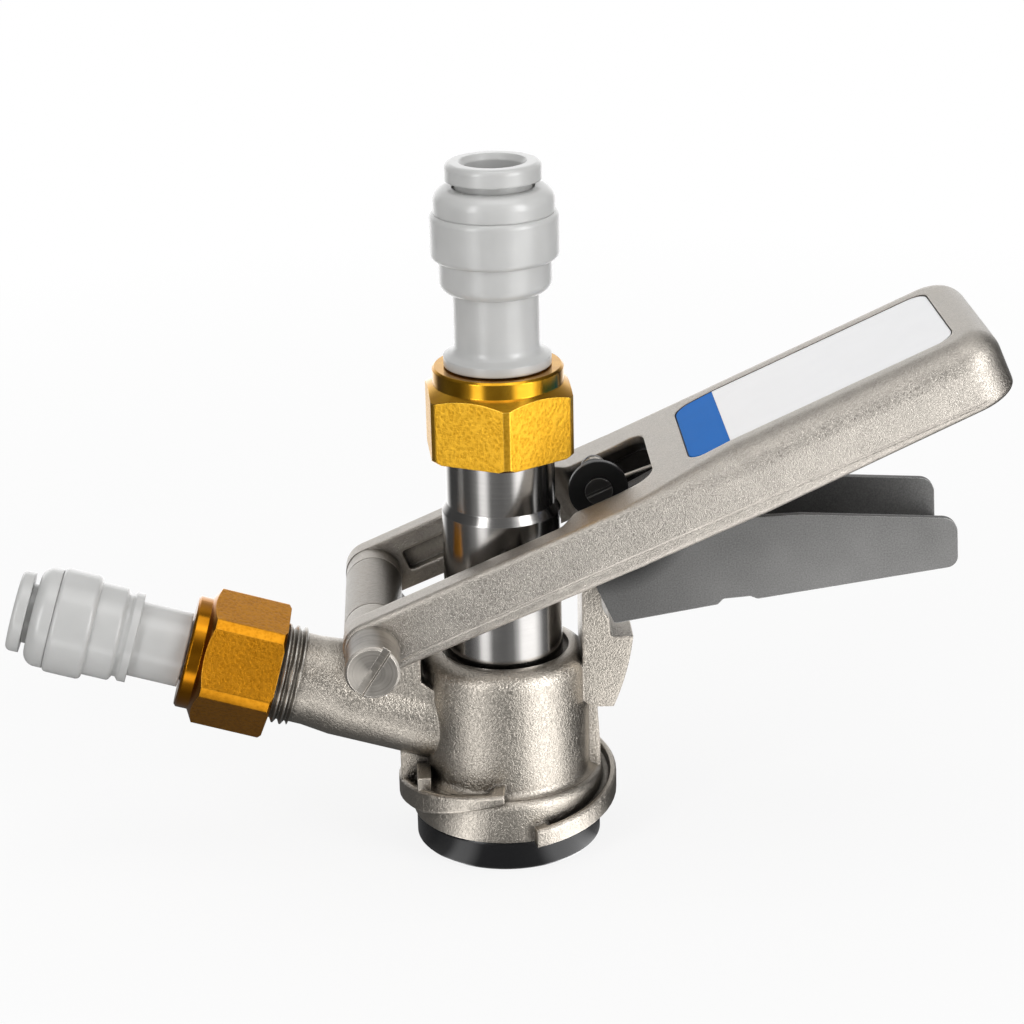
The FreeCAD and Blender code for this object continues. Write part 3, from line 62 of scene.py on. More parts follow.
MILLIMETRE = 0.001
cad_size = [round(extent / MILLIMETRE, 1) for extent in cad_high - cad_low]
print("CAD nodes:", len(frame["nodes"]), "size in mm:", cad_size)

# %% [markdown]
# ## The camera
#
# The camera stands where the photographer stood: above the coupler's front, a little to its
# left, with a long lens. Its place and its three angles were found by matching the corners of
# the nuts, the rims of the round parts and the edges of the handle. What three angles do
# depends on their order, so the camera's own axes are worked out one after the other, and
# its matrix is written from them.

# %% Camera
CAMERA_PLACE = Vector((-17.25, -530.13, 278.06)) * MILLIMETRE
CAMERA_YAW, CAMERA_PITCH, CAMERA_ROLL = (math.radians(angle) for angle in (2.121, 20.633, -1.324))
FOCAL_LENGTH, SENSOR_WIDTH = 89.58, 36.0
NEAREST, FARTHEST = 0.01, 20.0

ahead = Vector((
    math.sin(CAMERA_YAW) * math.cos(CAMERA_PITCH),
    math.cos(CAMERA_YAW) * math.cos(CAMERA_PITCH),
    -math.sin(CAMERA_PITCH),
))
level_right = Vector((math.cos(CAMERA_YAW), -math.sin(CAMERA_YAW), 0.0))
level_up = level_right.cross(ahead)
right = math.cos(CAMERA_ROLL) * level_right + math.sin(CAMERA_ROLL) * level_up
up = math.cos(CAMERA_ROLL) * level_up - math.sin(CAMERA_ROLL) * level_right
axes = Matrix((right, up, -ahead)).transposed().to_4x4()

camera = bpy.data.objects.new("camera", bpy.data.cameras.new("camera"))
bpy.context.scene.collection.objects.link(camera)
camera.data.lens = FOCAL_LENGTH
camera.data.sensor_width = SENSOR_WIDTH
camera.data.clip_start, camera.data.clip_end = NEAREST, FARTHEST
camera.matrix_world = Matrix.Translation(CAMERA_PLACE) @ axes
bpy.context.scene.camera = camera
print("camera is", round(CAMERA_PLACE.length / MILLIMETRE), "mm from the coupler's foot")

# %% [markdown]
# ## Writing materials as sums
#
# A node material is easier to read when it is written as a calculation. `Wire` stands for one
# output socket, and its operators add Math nodes. Colours don't go through it, because a Math
# node turns a colour grey.


# %% A socket that can be calculated with
class Wire:
    """One output socket of a material, which +, -, * and / work on."""

    def __init__(self, finish, socket):
        self.finish = finish
        self.socket = socket

    def math(self, operation, first, second):
        return self.finish.node("Math", {"operation": operation}, {0: first, 1: second})

    def __add__(self, other):
        return self.math("ADD", self, other)

    def __sub__(self, other):
        return self.math("SUBTRACT", self, other)

    def __rsub__(self, other):
        return self.math("SUBTRACT", other, self)

    def __mul__(self, other):
        return self.math("MULTIPLY", self, other)

    def __truediv__(self, other):
        return self.math("DIVIDE", self, other)

    __radd__ = __add__
    __rmul__ = __mul__


# %% [markdown]
# ## One class for every finish
#
# `Finish` holds one material. Its method `node` adds any node: settings first, then the values or wires of
# its inputs. The other methods are short names for what the finishes ask most: a noise of a size, a distance
# along or off an axis, a mask that rises or falls between two values, a blend of two colours, edges that look
# rounded, and a mask of sharp edges for painted highlights. Patterns read Object coordinates, so they stay on
# their piece when it moves.


# %% A material built from nodes
class Finish:
    """One procedural material: a Principled shader and the nodes that feed it."""

    def __init__(self, name, metallic=0.0):
        self.material = bpy.data.materials.new(name)
        self.material.use_nodes = True
        self.nodes = self.material.node_tree.nodes
        self.links = self.material.node_tree.links
        self.shader = self.nodes["Principled BSDF"]
        self.shader.inputs["Metallic"].default_value = metallic
        self.place = self.node("TexCoord", {}, {}, "Object")

    def node(self, kind, settings, inputs, output=0):
        """Add a node: its settings, then its inputs by name or number; returns one output."""
        made = self.nodes.new("ShaderNode" + kind)
        for key, value in settings.items():
            if key == "stops":
                self.set_stops(made.color_ramp.elements, value)
            else:
                setattr(made, key, value)
        for key, value in inputs.items():
            self.feed(made.inputs[key], value)
        return Wire(self, made.outputs[output])

    @staticmethod
    def set_stops(elements, stops):
        while len(elements) < len(stops):
            elements.new(0.5)
        for element, (position, colour) in zip(elements, stops):
            element.position = position
            element.color = (*colour, 1.0)

    def feed(self, socket, value):
        if isinstance(value, Wire):
            self.links.new(value.socket, socket)
        else:
            socket.default_value = value

    def set(self, **inputs):
        """Feed the shader's own inputs, such as Base_Color or Roughness."""
        for key, value in inputs.items():
            self.feed(self.shader.inputs[key.replace("_", " ")], value)

    def done(self):
        """Say how many nodes the finish took, and return its material."""
        print("finish", self.material.name, "has", len(self.nodes), "nodes")
        return self.material

    def noise(self, size, detail=3.0, roughness=0.5, vector=None, swirl=0.0):
        """Noise from 0 to 1 whose grains are about this many metres across."""
        return self.node("TexNoise", {}, {
            "Vector": vector or self.place, "Scale": 1.0 / size,
            "Detail": detail, "Roughness": roughness, "Distortion": swirl})

    def vector(self, operation, first, second, output=0):
        return self.node("VectorMath", {"operation": operation}, {0: first, 1: second}, output)

    def along(self, direction, origin=(0.0, 0.0, 0.0)):
        """How far a point lies along a direction from an origin, in metres."""
        offset = self.vector("SUBTRACT", self.place, tuple(origin))
        return self.vector("DOT_PRODUCT", offset, tuple(direction), "Value")

    def off_axis(self, direction, origin=(0.0, 0.0, 0.0)):
        """How far a point lies from an axis, in metres."""
        offset = self.vector("SUBTRACT", self.place, tuple(origin))
        return self.node("VectorMath", {"operation": "LENGTH"},
                         {0: self.vector("CROSS_PRODUCT", offset, tuple(direction))}, "Value")

    def lean(self, direction):
        """How far a face looks along a direction: 1 with it, 0 across it, -1 against it."""
        facing = self.node("NewGeometry", {}, {}, "True Normal")
        return self.vector("DOT_PRODUCT", facing, tuple(direction), "Value")

    def absolute(self, value):
        return self.node("Math", {"operation": "ABSOLUTE"}, {0: value})

    def ramp(self, factor, *stops):
        return self.node("ValToRGB", {"stops": stops}, {"Fac": factor})

    def remap(self, value, low, high, to_low=0.0, to_high=1.0):
        """A value stretched from one range to another; past its ends it stays put."""
        return self.node("MapRange", {}, {"Value": value, "From Min": low, "From Max": high,
                                          "To Min": to_low, "To Max": to_high})

    def fall(self, value, low, high):
        """One below low, nought above high."""
        return self.remap(value, low, high, 1.0, 0.0)

    def mix(self, factor, first, second):
        """Blend two colours."""
        first, second = ((*c, 1.0) if isinstance(c, tuple) else c for c in (first, second))
        return self.node("Mix", {"data_type": "RGBA"}, {0: factor, 6: first, 7: second}, 2)

    def rounded(self, radius):
        """A normal that is rounded over the piece's sharp edges."""
        return self.node("Bevel", {"samples": 4}, {"Radius": radius})

    def highlit_edges(self, radius):
        """A mask for painted highlights: one along sharp edges, where the rounded normal leaves the face's
        own; else nought.
        """
        agreement = self.vector("DOT_PRODUCT", self.rounded(radius),
                                self.node("NewGeometry", {}, {}, "Normal"), "Value")
        return self.fall(agreement, 0.90, 0.985)

    def bump(self, height, depth, normal=None):
        """A normal that is bumped by this many metres where the height goes from 0 to 1."""
        inputs = {"Height": height, "Strength": 1.0, "Distance": depth}
        if normal:
            inputs["Normal"] = normal
        return self.node("Bump", {}, inputs)


def shade_of(colour, share):
    """A colour made darker or lighter by a share, with no channel above one."""
    return tuple(min(1.0, channel * share) for channel in colour)


print("a finish can be written with", len([name for name in vars(Finish) if name[0] != "_"]), "methods")

# %% [markdown]
# ## Places that several materials share
#
# The handle's own frame starts at its pivot and leans back; the gas arm has an axis of its
# own. Both are read from the joints of the CAD model, so that grain, lines and shade follow
# it. The handle's tilt is typed, and so is the mark on the gas arm's axis from which its nut
# and its thread are counted.

# %% Frames of the handle and the gas arm
joints = {joint["name"]: joint for joint in frame["joints"]}
PIVOT = Vector(joints["handle_hinge"]["pos_m"])
TRIGGER_PIN = Vector(joints["trigger_hinge"]["pos_m"])
HANDLE_TILT = math.radians(23.2)
HANDLE_ALONG = Vector((math.cos(HANDLE_TILT), 0.0, math.sin(HANDLE_TILT)))
HANDLE_UP = Vector((-math.sin(HANDLE_TILT), 0.0, math.cos(HANDLE_TILT)))
SIDEWAYS = Vector((1.0, 0.0, 0.0))
ACROSS = Vector((0.0, 1.0, 0.0))
UPWARD = Vector((0.0, 0.0, 1.0))
GAS_AXIS = -Vector(joints["gas_collet_slide"]["axis"])
GAS_MARK = Vector((-48.2, 0.0, 40.6)) * MILLIMETRE
print("pivot at", [round(v / MILLIMETRE, 1) for v in PIVOT], "mm, gas axis", [round(v, 3) for v in GAS_AXIS])

# %% [markdown]
# ## Bead-blasted stainless steel
#
# The body and the handle are investment castings. Blasting leaves a warm grey skin with a winding grain of
# half a millimetre or so. A picture of such a skin would stretch over the curves, so the grain is a noise in
# the solid, swirled to wind like the real one. It catches the light, so it goes into the bump, the colour and
# the roughness together. Hollows get painted shade, and sharp edges a painted highlight.

# %% Cast steel
# The colour of painted shade.
IN_SHADE = (0.035, 0.032, 0.03)
LINE_DEPTH = 3.0


def cast_steel(name, tint, grain, depth, shade=None, line=None):
    """Blasted steel whose grain is this wide and deep, with painted shade in hollows and in a part, painted
    highlights on edges, and a line.
    """
    finish = Finish(name, metallic=1.0)
    worm = finish.noise(grain, 2.0, 0.45, swirl=1.6)
    fine = finish.noise(grain * 0.4, 3.0, 0.6)
    mottle = finish.noise(7 * MILLIMETRE, 3.0, 0.55)
    relief = finish.remap(worm, 0.36, 0.64) * 0.8 + fine * 0.3
    patches = relief * 0.75 + finish.remap(mottle, 0.35, 0.65) * 0.25
    skin = finish.mix(patches, shade_of(tint, 0.78), shade_of(tint, 1.15))
    # Painted shade: the colour darkens in hollows that ambient occlusion finds.
    openness = finish.node("AmbientOcclusion", {"samples": 6}, {"Distance": 3 * MILLIMETRE}, "AO")
    skin = finish.mix(finish.remap(openness, 0.35, 0.9), shade_of(tint, 0.22), skin)
    # Painted highlight along sharp edges, kept out of hollows.
    edge_glint = finish.highlit_edges(0.35 * MILLIMETRE) * finish.remap(openness, 0.6, 0.85)
    skin = finish.mix(edge_glint, skin, shade_of(tint, 1.8))
    # Painted shade where the shade mask asks.
    if shade:
        skin = finish.mix(shade(finish), skin, IN_SHADE)
    if line:
        relief = relief - line(finish) * LINE_DEPTH
    finish.set(
        Base_Color=skin,
        Roughness=0.25 + finish.remap(mottle, 0.3, 0.7) * 0.06 + fine * 0.08,
        Normal=finish.bump(relief, depth, finish.rounded(0.9 * MILLIMETRE)),
    )
    return finish.done()


# %% [markdown]
# ## Painted shade on the castings, and where the mould met
#
# The inside of the handle's opening and the barrel between its arms lie in deep shade, which is painted into
# their colour, and a parting line runs along the lower third of the handle's sides. A mask painted by hand
# would need its own unwrapped picture. Here each mask is a product of a few distances from the pivot, which
# reads like a drawing: from where to where along, up and across.


# %% Masks on the castings
def opening_shade(finish):
    """Painted shade: one inside the opening of the handle's deck, below its rim, as far as the side walls."""
    along = finish.along(HANDLE_ALONG, PIVOT)
    inside = finish.fall(finish.absolute(finish.along(ACROSS)), 22.6 * MILLIMETRE, 23.2 * MILLIMETRE)
    below = finish.fall(finish.along(HANDLE_UP, PIVOT), 5.0 * MILLIMETRE, 6.2 * MILLIMETRE)
    after_start = finish.remap(along, 50.0 * MILLIMETRE, 51.0 * MILLIMETRE)
    before_end = finish.fall(along, 71.2 * MILLIMETRE, 72.2 * MILLIMETRE)
    return inside * below * after_start * before_end


def pivot_shade(finish):
    """Painted shade on the barrel round the handle's pivot, most of all on the side inside the fork."""
    near = finish.fall(finish.off_axis(ACROSS, PIVOT), 9.0 * MILLIMETRE, 10.0 * MILLIMETRE)
    fork_side = finish.remap(finish.along(SIDEWAYS, PIVOT), -2.0 * MILLIMETRE, 6.0 * MILLIMETRE, 0.35, 0.75)
    above = finish.remap(finish.along(UPWARD, PIVOT), -6.0 * MILLIMETRE, -4.0 * MILLIMETRE)
    return near * fork_side * above


def parting_line(finish):
    """A thin groove along the lower third of the handle's sides."""
    height = finish.absolute(finish.along(HANDLE_UP, PIVOT) + 4.2 * MILLIMETRE)
    outside = finish.remap(finish.absolute(finish.along(ACROSS)), 25.0 * MILLIMETRE, 25.3 * MILLIMETRE)
    return finish.fall(height, 0.1 * MILLIMETRE, 0.4 * MILLIMETRE) * outside


BODY_STEEL = cast_steel(
    "body_steel", (0.45, 0.412, 0.362), 0.65 * MILLIMETRE, 0.06 * MILLIMETRE, pivot_shade)
HANDLE_STEEL = cast_steel(
    "handle_steel", (0.40, 0.370, 0.332), 0.42 * MILLIMETRE, 0.052 * MILLIMETRE, opening_shade, parting_line)

# %% [markdown]
# ## Turned steel
#
# The probe is turned and polished: fine rings run round it. The pivot screw was faced on a lathe, so rings
# run round its axis on the head as well. The rings are a noise that reads only two numbers, the distance
# along the axis and the distance from it, so it can't change on the way round. A faced head also shows a
# light wedge where its turning marks catch the light; the shader's own anisotropy isn't used, so the wedge is
# a painted highlight in the colour.

# %% Finish of turned steel
WEDGE_MIDDLE = (-0.97, 0.0, -0.24)


def turned_steel(name, tint, roughness, ring_width, ring_depth, axis, origin=(0.0, 0.0, 0.0),
                 contrast=0.8, wedge=None):
    """Turned steel with rings round an axis, with painted highlights at its edges and, if given, in a wedge.
    """
    finish = Finish(name, metallic=1.0)
    steps = finish.node("CombineXYZ", {}, {0: finish.along(axis, origin), 1: finish.off_axis(axis, origin)})
    rings = finish.noise(ring_width, 4.0, 0.65, steps)
    haze = finish.noise(10 * MILLIMETRE, 3.0, 0.5)
    light = shade_of(tint, 1.9)
    patches = finish.remap(haze, 0.35, 0.65) * 0.5 + finish.remap(rings, 0.3, 0.7) * 0.5
    skin = finish.mix(patches, shade_of(tint, contrast), tint)
    # Painted highlight: the faced head's wedge.
    if wedge:
        skin = finish.mix(wedge(finish), skin, light)
    # Painted highlight along sharp edges.
    skin = finish.mix(finish.highlit_edges(0.2 * MILLIMETRE), skin, light)
    finish.set(
        Base_Color=skin,
        Roughness=roughness + haze * 0.06 + rings * 0.08,
        Normal=finish.bump(rings, ring_depth, finish.rounded(0.25 * MILLIMETRE)),
    )
    return finish.done()


def disc_wedge(finish):
    """A painted highlight: part of the way to light in a wedge on the screw's faced head, towards the gas
    arm.
    """
    towards = finish.along(WEDGE_MIDDLE, PIVOT) / finish.off_axis(ACROSS, PIVOT)
    return finish.remap(towards, 0.35, 1.0, 0.0, 0.6) * finish.fall(finish.lean(ACROSS), -0.95, -0.9)


PROBE_STEEL = turned_steel(
    "probe_steel", (0.36, 0.35, 0.34), 0.1, 0.3 * MILLIMETRE, 0.006 * MILLIMETRE, UPWARD)
SCREW_STEEL = turned_steel(
    "screw_steel", (0.46, 0.43, 0.39), 0.36, 0.55 * MILLIMETRE, 0.05 * MILLIMETRE, ACROSS, PIVOT,
    0.35, disc_wedge)
PIN_STEEL = turned_steel(
    "pin_steel", (0.09, 0.088, 0.085), 0.25, 0.3 * MILLIMETRE, 0.01 * MILLIMETRE, ACROSS, TRIGGER_PIN)

# %% [markdown]
# ## Rolled sheet
#
# The trigger is folded from rolled sheet, darker than the castings, with a fine speckle and a faint grain
# along its length. One noise gives the speckle. Another is read through a Mapping node that squeezes it
# across, which draws it out along. The cut edges get a painted highlight, and round its pin, under the
# handle, the sheet gets painted shade.


# %% Sheet steel
def sheet_steel():
    """Rolled sheet with a grain along it, a painted highlight at the cut edges and painted shade by its pin.
    """
    finish = Finish("trigger_sheet", metallic=1.0)
    drawn_out = finish.node("Mapping", {}, {"Vector": finish.place, "Scale": (160.0, 2600.0, 2600.0)})
    grain = finish.noise(1.0, 3.0, 0.6, drawn_out)
    speckle = finish.noise(0.35 * MILLIMETRE, 3.0, 0.65)
    cloud = finish.noise(18 * MILLIMETRE, 2.0, 0.5)
    skin = finish.mix(finish.remap(cloud * 0.35 + speckle * 0.65, 0.35, 0.65),
                      (0.100, 0.099, 0.097), (0.170, 0.168, 0.165))
    # Painted highlight along the cut edges.
    skin = finish.mix(finish.highlit_edges(0.25 * MILLIMETRE), skin, (0.45, 0.45, 0.44))
    # Painted shade round the pin, where the sheet lies under the handle.
    from_pin = finish.off_axis(ACROSS, TRIGGER_PIN)
    shade_by_pin = finish.remap(from_pin, 17.0 * MILLIMETRE, 22.0 * MILLIMETRE, 0.85, 0.0)
    finish.set(
        Base_Color=finish.mix(shade_by_pin, skin, (0.02, 0.02, 0.02)),
        Roughness=0.4 + grain * 0.06 + speckle * 0.12,
        Normal=finish.bump(grain * 0.3 + speckle, 0.014 * MILLIMETRE,
                           finish.rounded(0.35 * MILLIMETRE)),
    )
    return finish.done()


TRIGGER_STEEL = sheet_steel()

# %% [markdown]
# ## Gilded brass
#
# The union nuts are brass in a deep golden colour. Their hexagon faces keep a stippled
# surface from the drawn bar. The turned collar and the cone are smoother and browner, and the
# narrow strips where the corners were turned off are smooth. Each of these could be a
# material of its own on its own faces, but a CAD node brings no such slots, so one material
# asks which way a face leans and how far it lies from the nut's axis. The gas nut is the
# browner of the two.

# %% Union nut brass
STIPPLED_DARK, STIPPLED_LIGHT = (0.50, 0.250, 0.013), (0.76, 0.42, 0.034)
TURNED_DARK, TURNED_LIGHT = (0.42, 0.200, 0.011), (0.56, 0.295, 0.021)
EDGE_LIGHT = (0.92, 0.60, 0.12)


def nut_brass(name, axis, origin, corner_radius, tone=(1.0, 1.0, 1.0)):
    """Brass of a nut on this axis, stippled on its flats and smooth where it was turned."""
    finish = Finish(name, metallic=1.0)

    def toned(colour):
        return tuple(channel * share for channel, share in zip(colour, tone))

    stipple = finish.noise(0.35 * MILLIMETRE, 2.0, 0.5, swirl=1.2)
    pits = finish.node("TexVoronoi", {"feature": "F1"},
                       {"Vector": finish.place, "Scale": 1.0 / (0.9 * MILLIMETRE)})
    upright = finish.fall(finish.absolute(finish.lean(axis)), 0.02, 0.12)
    reach = finish.off_axis(axis, origin)
    strip = finish.remap(reach, corner_radius - 0.12 * MILLIMETRE, corner_radius - 0.04 * MILLIMETRE)
    outside = finish.remap(reach, corner_radius - 2.7 * MILLIMETRE, corner_radius - 2.4 * MILLIMETRE)
    flats = upright * outside
    cloud = finish.remap(finish.noise(5 * MILLIMETRE, 3.0, 0.5), 0.3, 0.7)
    rough = finish.remap(stipple * 0.6 + pits * 0.4, 0.3, 0.62)
    face = finish.mix(rough * 0.7 + cloud * 0.3, toned(STIPPLED_DARK), toned(STIPPLED_LIGHT))
    turned = finish.mix(cloud, toned(TURNED_DARK), toned(TURNED_LIGHT))
    # Painted highlight along the nut's sharp edges, in the colour EDGE_LIGHT.
    face = finish.mix(finish.highlit_edges(0.3 * MILLIMETRE), face, toned(EDGE_LIGHT))
    finish.set(
        Base_Color=finish.mix(flats, turned, face),
        Roughness=0.16 + flats * 0.2,
        Normal=finish.bump(rough * flats * (1.0 - strip), 0.04 * MILLIMETRE,
                           finish.rounded(0.3 * MILLIMETRE)),
    )
    return finish.done()


BEER_NUT_BRASS = nut_brass("beer_nut_brass", UPWARD, (0.0, 0.0, 0.0), 17.5 * MILLIMETRE)
GAS_NUT_BRASS = nut_brass("gas_nut_brass", GAS_AXIS, GAS_MARK, 15.5 * MILLIMETRE, (0.78, 0.60, 0.40))

# %% [markdown]
# ## Plastics, rubber and printed film
#
# The push-in fittings are moulded in a pale grey acetal with a clean gloss. The seals are
# black rubber, glossy where the tool was. The label is a plain printed film, blue and white.
# Such skins differ in colour and gloss and hardly in texture, so one function makes them all:
# a slow ripple, a trace of orange peel and a soft edge.

# %% Moulded plastic and rubber
COAT_ROUGHNESS = 0.1


def moulded(name, colour, roughness, texture, coat=0.0, cloudy=0.06, specular=0.5):
    """A moulded skin, a little cloudy, whose texture is this deep."""
    finish = Finish(name)
    ripple = finish.noise(7 * MILLIMETRE, 2.0, 0.4)
    skin = finish.noise(0.25 * MILLIMETRE, 2.0, 0.5)
    finish.set(
        Base_Color=finish.mix(finish.remap(ripple, 0.35, 0.65), shade_of(colour, 1.0 - cloudy), colour),
        Roughness=roughness + skin * 0.08,
        Normal=finish.bump(ripple + skin * 0.25, texture, finish.rounded(0.6 * MILLIMETRE)),
        Coat_Weight=coat,
        Coat_Roughness=COAT_ROUGHNESS,
        Specular_IOR_Level=specular,
    )
    return finish.done()


GREY_ACETAL = moulded("grey_acetal", (0.575, 0.575, 0.565), 0.26, 0.02 * MILLIMETRE, coat=0.3)
WHITE_ACETAL = moulded("white_acetal", (0.80, 0.80, 0.78), 0.4, 0.01 * MILLIMETRE)
BLACK_RUBBER = moulded("black_rubber", (0.008, 0.008, 0.009), 0.16, 0.015 * MILLIMETRE, specular=0.35)
BLACK_ACETAL = moulded("black_acetal", (0.006, 0.006, 0.006), 0.3, 0.01 * MILLIMETRE, specular=0.2)
FILM_BLUE = moulded("film_blue", (0.0, 0.150, 0.56), 0.4, 0.002 * MILLIMETRE, cloudy=0.03, specular=0.05)
FILM_WHITE = moulded("film_white", (0.92, 0.92, 0.93), 0.3, 0.002 * MILLIMETRE, cloudy=0.015)

# %% [markdown]
# ## Dressing the CAD nodes
#
# The solids already have the right shape, so they only take a finish. A table from node to
# finish is easier to check than a line of code for each. What it doesn't name is a seal, a
# valve's seat, a washer or an O-ring, and those are rubber.

# %% Give each node its finish
NODE_FINISHES = {
    "coupler_body": BODY_STEEL, "handle": HANDLE_STEEL,
    "probe": PROBE_STEEL, "trunnion_pin_near": PROBE_STEEL, "trunnion_pin_far": PROBE_STEEL,
    "pivot_screw": SCREW_STEEL, "trigger_pin": PIN_STEEL, "trigger_spring": SCREW_STEEL,
    "beer_grab_ring": SCREW_STEEL, "gas_grab_ring": SCREW_STEEL,
    "trigger": TRIGGER_STEEL, "trigger_spool": BLACK_ACETAL,
    "beer_nut": BEER_NUT_BRASS, "gas_nut": GAS_NUT_BRASS,
    "beer_fitting_body": GREY_ACETAL, "beer_fitting_cap": GREY_ACETAL, "beer_collet": GREY_ACETAL,
    "gas_fitting_body": GREY_ACETAL, "gas_fitting_cap": GREY_ACETAL, "gas_collet": GREY_ACETAL,
    "ball_cage": WHITE_ACETAL, "beer_check_ball": WHITE_ACETAL,
    "gas_valve_cage": WHITE_ACETAL, "gas_check_ball": WHITE_ACETAL,
    "trunnion_roller_near": WHITE_ACETAL, "trunnion_roller_far": WHITE_ACETAL,
    "label_blue": FILM_BLUE, "label_white": FILM_WHITE,
}
for name, node in frame["nodes"].items():
    for material_slot in node.material_slots:
        material_slot.material = NODE_FINISHES.get(name, BLACK_RUBBER)
print("dressed", len(frame["nodes"]), "nodes,", len(frame["nodes"]) - len(NODE_FINISHES), "of them in rubber")

# %% [markdown]
# ## The thread on the gas arm
#
# The CAD arm is plain where the nut is screwed on. The turns that show below the nut are one
# ridge, swept round the arm with a step along it: `spin` takes such a step as `dvec`. Rings
# side by side would be simpler, but a thread climbs, and its end shows. The ends are cut
# square, as the relief groove cuts the real one, and the cuts are closed again.

# %% Thread
STEPS_A_TURN = 64
SUNK = 0.2 * MILLIMETRE


def arm_thread(first, last, root, crest, pitch, steel):
    """A ridge of this pitch, from first to last along the gas axis, sunk a little in the arm."""
    turns = (last - first) / pitch + 2.0
    flank = pitch * 0.49
    outline = ((root - SUNK, -flank), (crest, -flank * 0.2), (crest, flank * 0.2), (root - SUNK, flank))
    ridge = bmesh.new()
    section = [ridge.verts.new((radius, 0.0, first - pitch + height)) for radius, height in outline]
    profile = ridge.faces.new(section)
    bmesh.ops.spin(ridge, geom=[profile], cent=(0.0, 0.0, 0.0), axis=(0.0, 0.0, 1.0),
                   dvec=(0.0, 0.0, pitch / STEPS_A_TURN), angle=turns * 2.0 * math.pi,
                   steps=round(turns * STEPS_A_TURN), use_merge=False)
    for cut, clear in ((first, "clear_inner"), (last, "clear_outer")):
        parts = ridge.verts[:] + ridge.edges[:] + ridge.faces[:]
        found = bmesh.ops.bisect_plane(ridge, geom=parts, plane_co=(0.0, 0.0, cut),
                                       plane_no=(0.0, 0.0, 1.0), **{clear: True})
        rim = [part for part in found["geom_cut"] if isinstance(part, bmesh.types.BMEdge)]
        bmesh.ops.holes_fill(ridge, edges=rim)
    bmesh.ops.recalc_face_normals(ridge, faces=ridge.faces)
    turn = GAS_AXIS.to_track_quat("Z", "Y").to_matrix().to_4x4()
    bmesh.ops.transform(ridge, matrix=Matrix.Translation(GAS_MARK) @ turn, verts=ridge.verts)
    mesh = bpy.data.meshes.new("arm_thread")
    ridge.to_mesh(mesh)
    ridge.free()
    mesh.materials.append(steel)
    piece = bpy.data.objects.new("arm_thread", mesh)
    bpy.context.scene.collection.objects.link(piece)
    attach(piece, "casting")
    print("thread:", round((last - first) / pitch, 1), "turns,", len(mesh.polygons), "faces")


THREAD_STEEL = turned_steel(
    "thread_steel", (0.36, 0.34, 0.31), 0.22, 0.3 * MILLIMETRE, 0.004 * MILLIMETRE, GAS_AXIS, GAS_MARK)
arm_thread(first=-1.0 * MILLIMETRE, last=4.2 * MILLIMETRE, root=10.4 * MILLIMETRE,
           crest=11.4 * MILLIMETRE, pitch=1.814 * MILLIMETRE, steel=THREAD_STEEL)

# %% [markdown]
# ## What polished metal mirrors
#
# Round parts of polished steel in such a picture show two bright upright bands, one from each
# softbox, with dark between them and at their rims. Big lamps alone would light the room's
# haze and not these dark gaps, so mirrors see a room whose strength depends on the compass
# direction only: a colour ramp round the horizon, written as a table of angle and strength.


# %% A room round the compass
class Room(Finish):
    """The world's light, written with the same sums as a material."""

    def __init__(self, name):
        world = bpy.data.worlds.new(name)
        bpy.context.scene.world = world
        world.use_nodes = True
        self.nodes, self.links = world.node_tree.nodes, world.node_tree.links
        self.shader = self.nodes["Background"]
        self.place = self.node("TexCoord", {}, {}, "Generated")


BRIGHTEST = 3.2
COMPASS = (
    (-180, 1.7), (-155, 1.7), (-130, 0.10), (-70, 0.16), (-52, 0.5), (-44, 2.4), (-34, 2.4),
    (-24, 0.35), (0, 0.3), (20, 0.45), (32, 3.0), (58, 3.0), (76, 0.4), (95, 0.07), (135, 0.07),
    (155, 1.4), (180, 1.7),
)


def mirrored_room(finish):
    """The strength of the room in a direction: 0 degrees faces the photographer."""
    flat = finish.node("SeparateXYZ", {}, {0: finish.place}, "X")
    deep = finish.node("SeparateXYZ", {}, {0: finish.place}, "Y") * -1.0
    turn = finish.node("Math", {"operation": "ARCTAN2"}, {0: flat, 1: deep}) / (2.0 * math.pi) + 0.5
    stops = [(angle / 360.0 + 0.5, (strength / BRIGHTEST,) * 3) for angle, strength in COMPASS]
    return finish.ramp(turn, *stops) * BRIGHTEST


def seen_by(finish, kind):
    """One for rays of a kind: Camera, Glossy or Transmission."""
    return finish.node("LightPath", {}, {}, f"Is {kind} Ray")


def seen_mirrored(finish):
    """One for what metal or glass shows."""
    return finish.node("Clamp", {}, {0: seen_by(finish, "Glossy") + seen_by(finish, "Transmission")})


print("the room has", len(COMPASS), "stops, the brightest", max(strength for _, strength in COMPASS))

# %% [markdown]
# ## The floor
#
# The coupler stands on a pale floor. A floor bright enough to look white would throw light on
# the object from below, so it only looks white: rays from the camera see it glow, more with
# distance, and metal sees the room in it, while its own grey keeps a faint shadow under the
# object.

# %% Floor
FLOOR_REACH = 6.0
FLOOR_GAP = 0.2 * MILLIMETRE
FLOOR_MIDDLE = (0.03, 0.0, 0.0)
FADE_START, FADE_END = 0.08, 0.55
GLOW_NEAR = 0.86


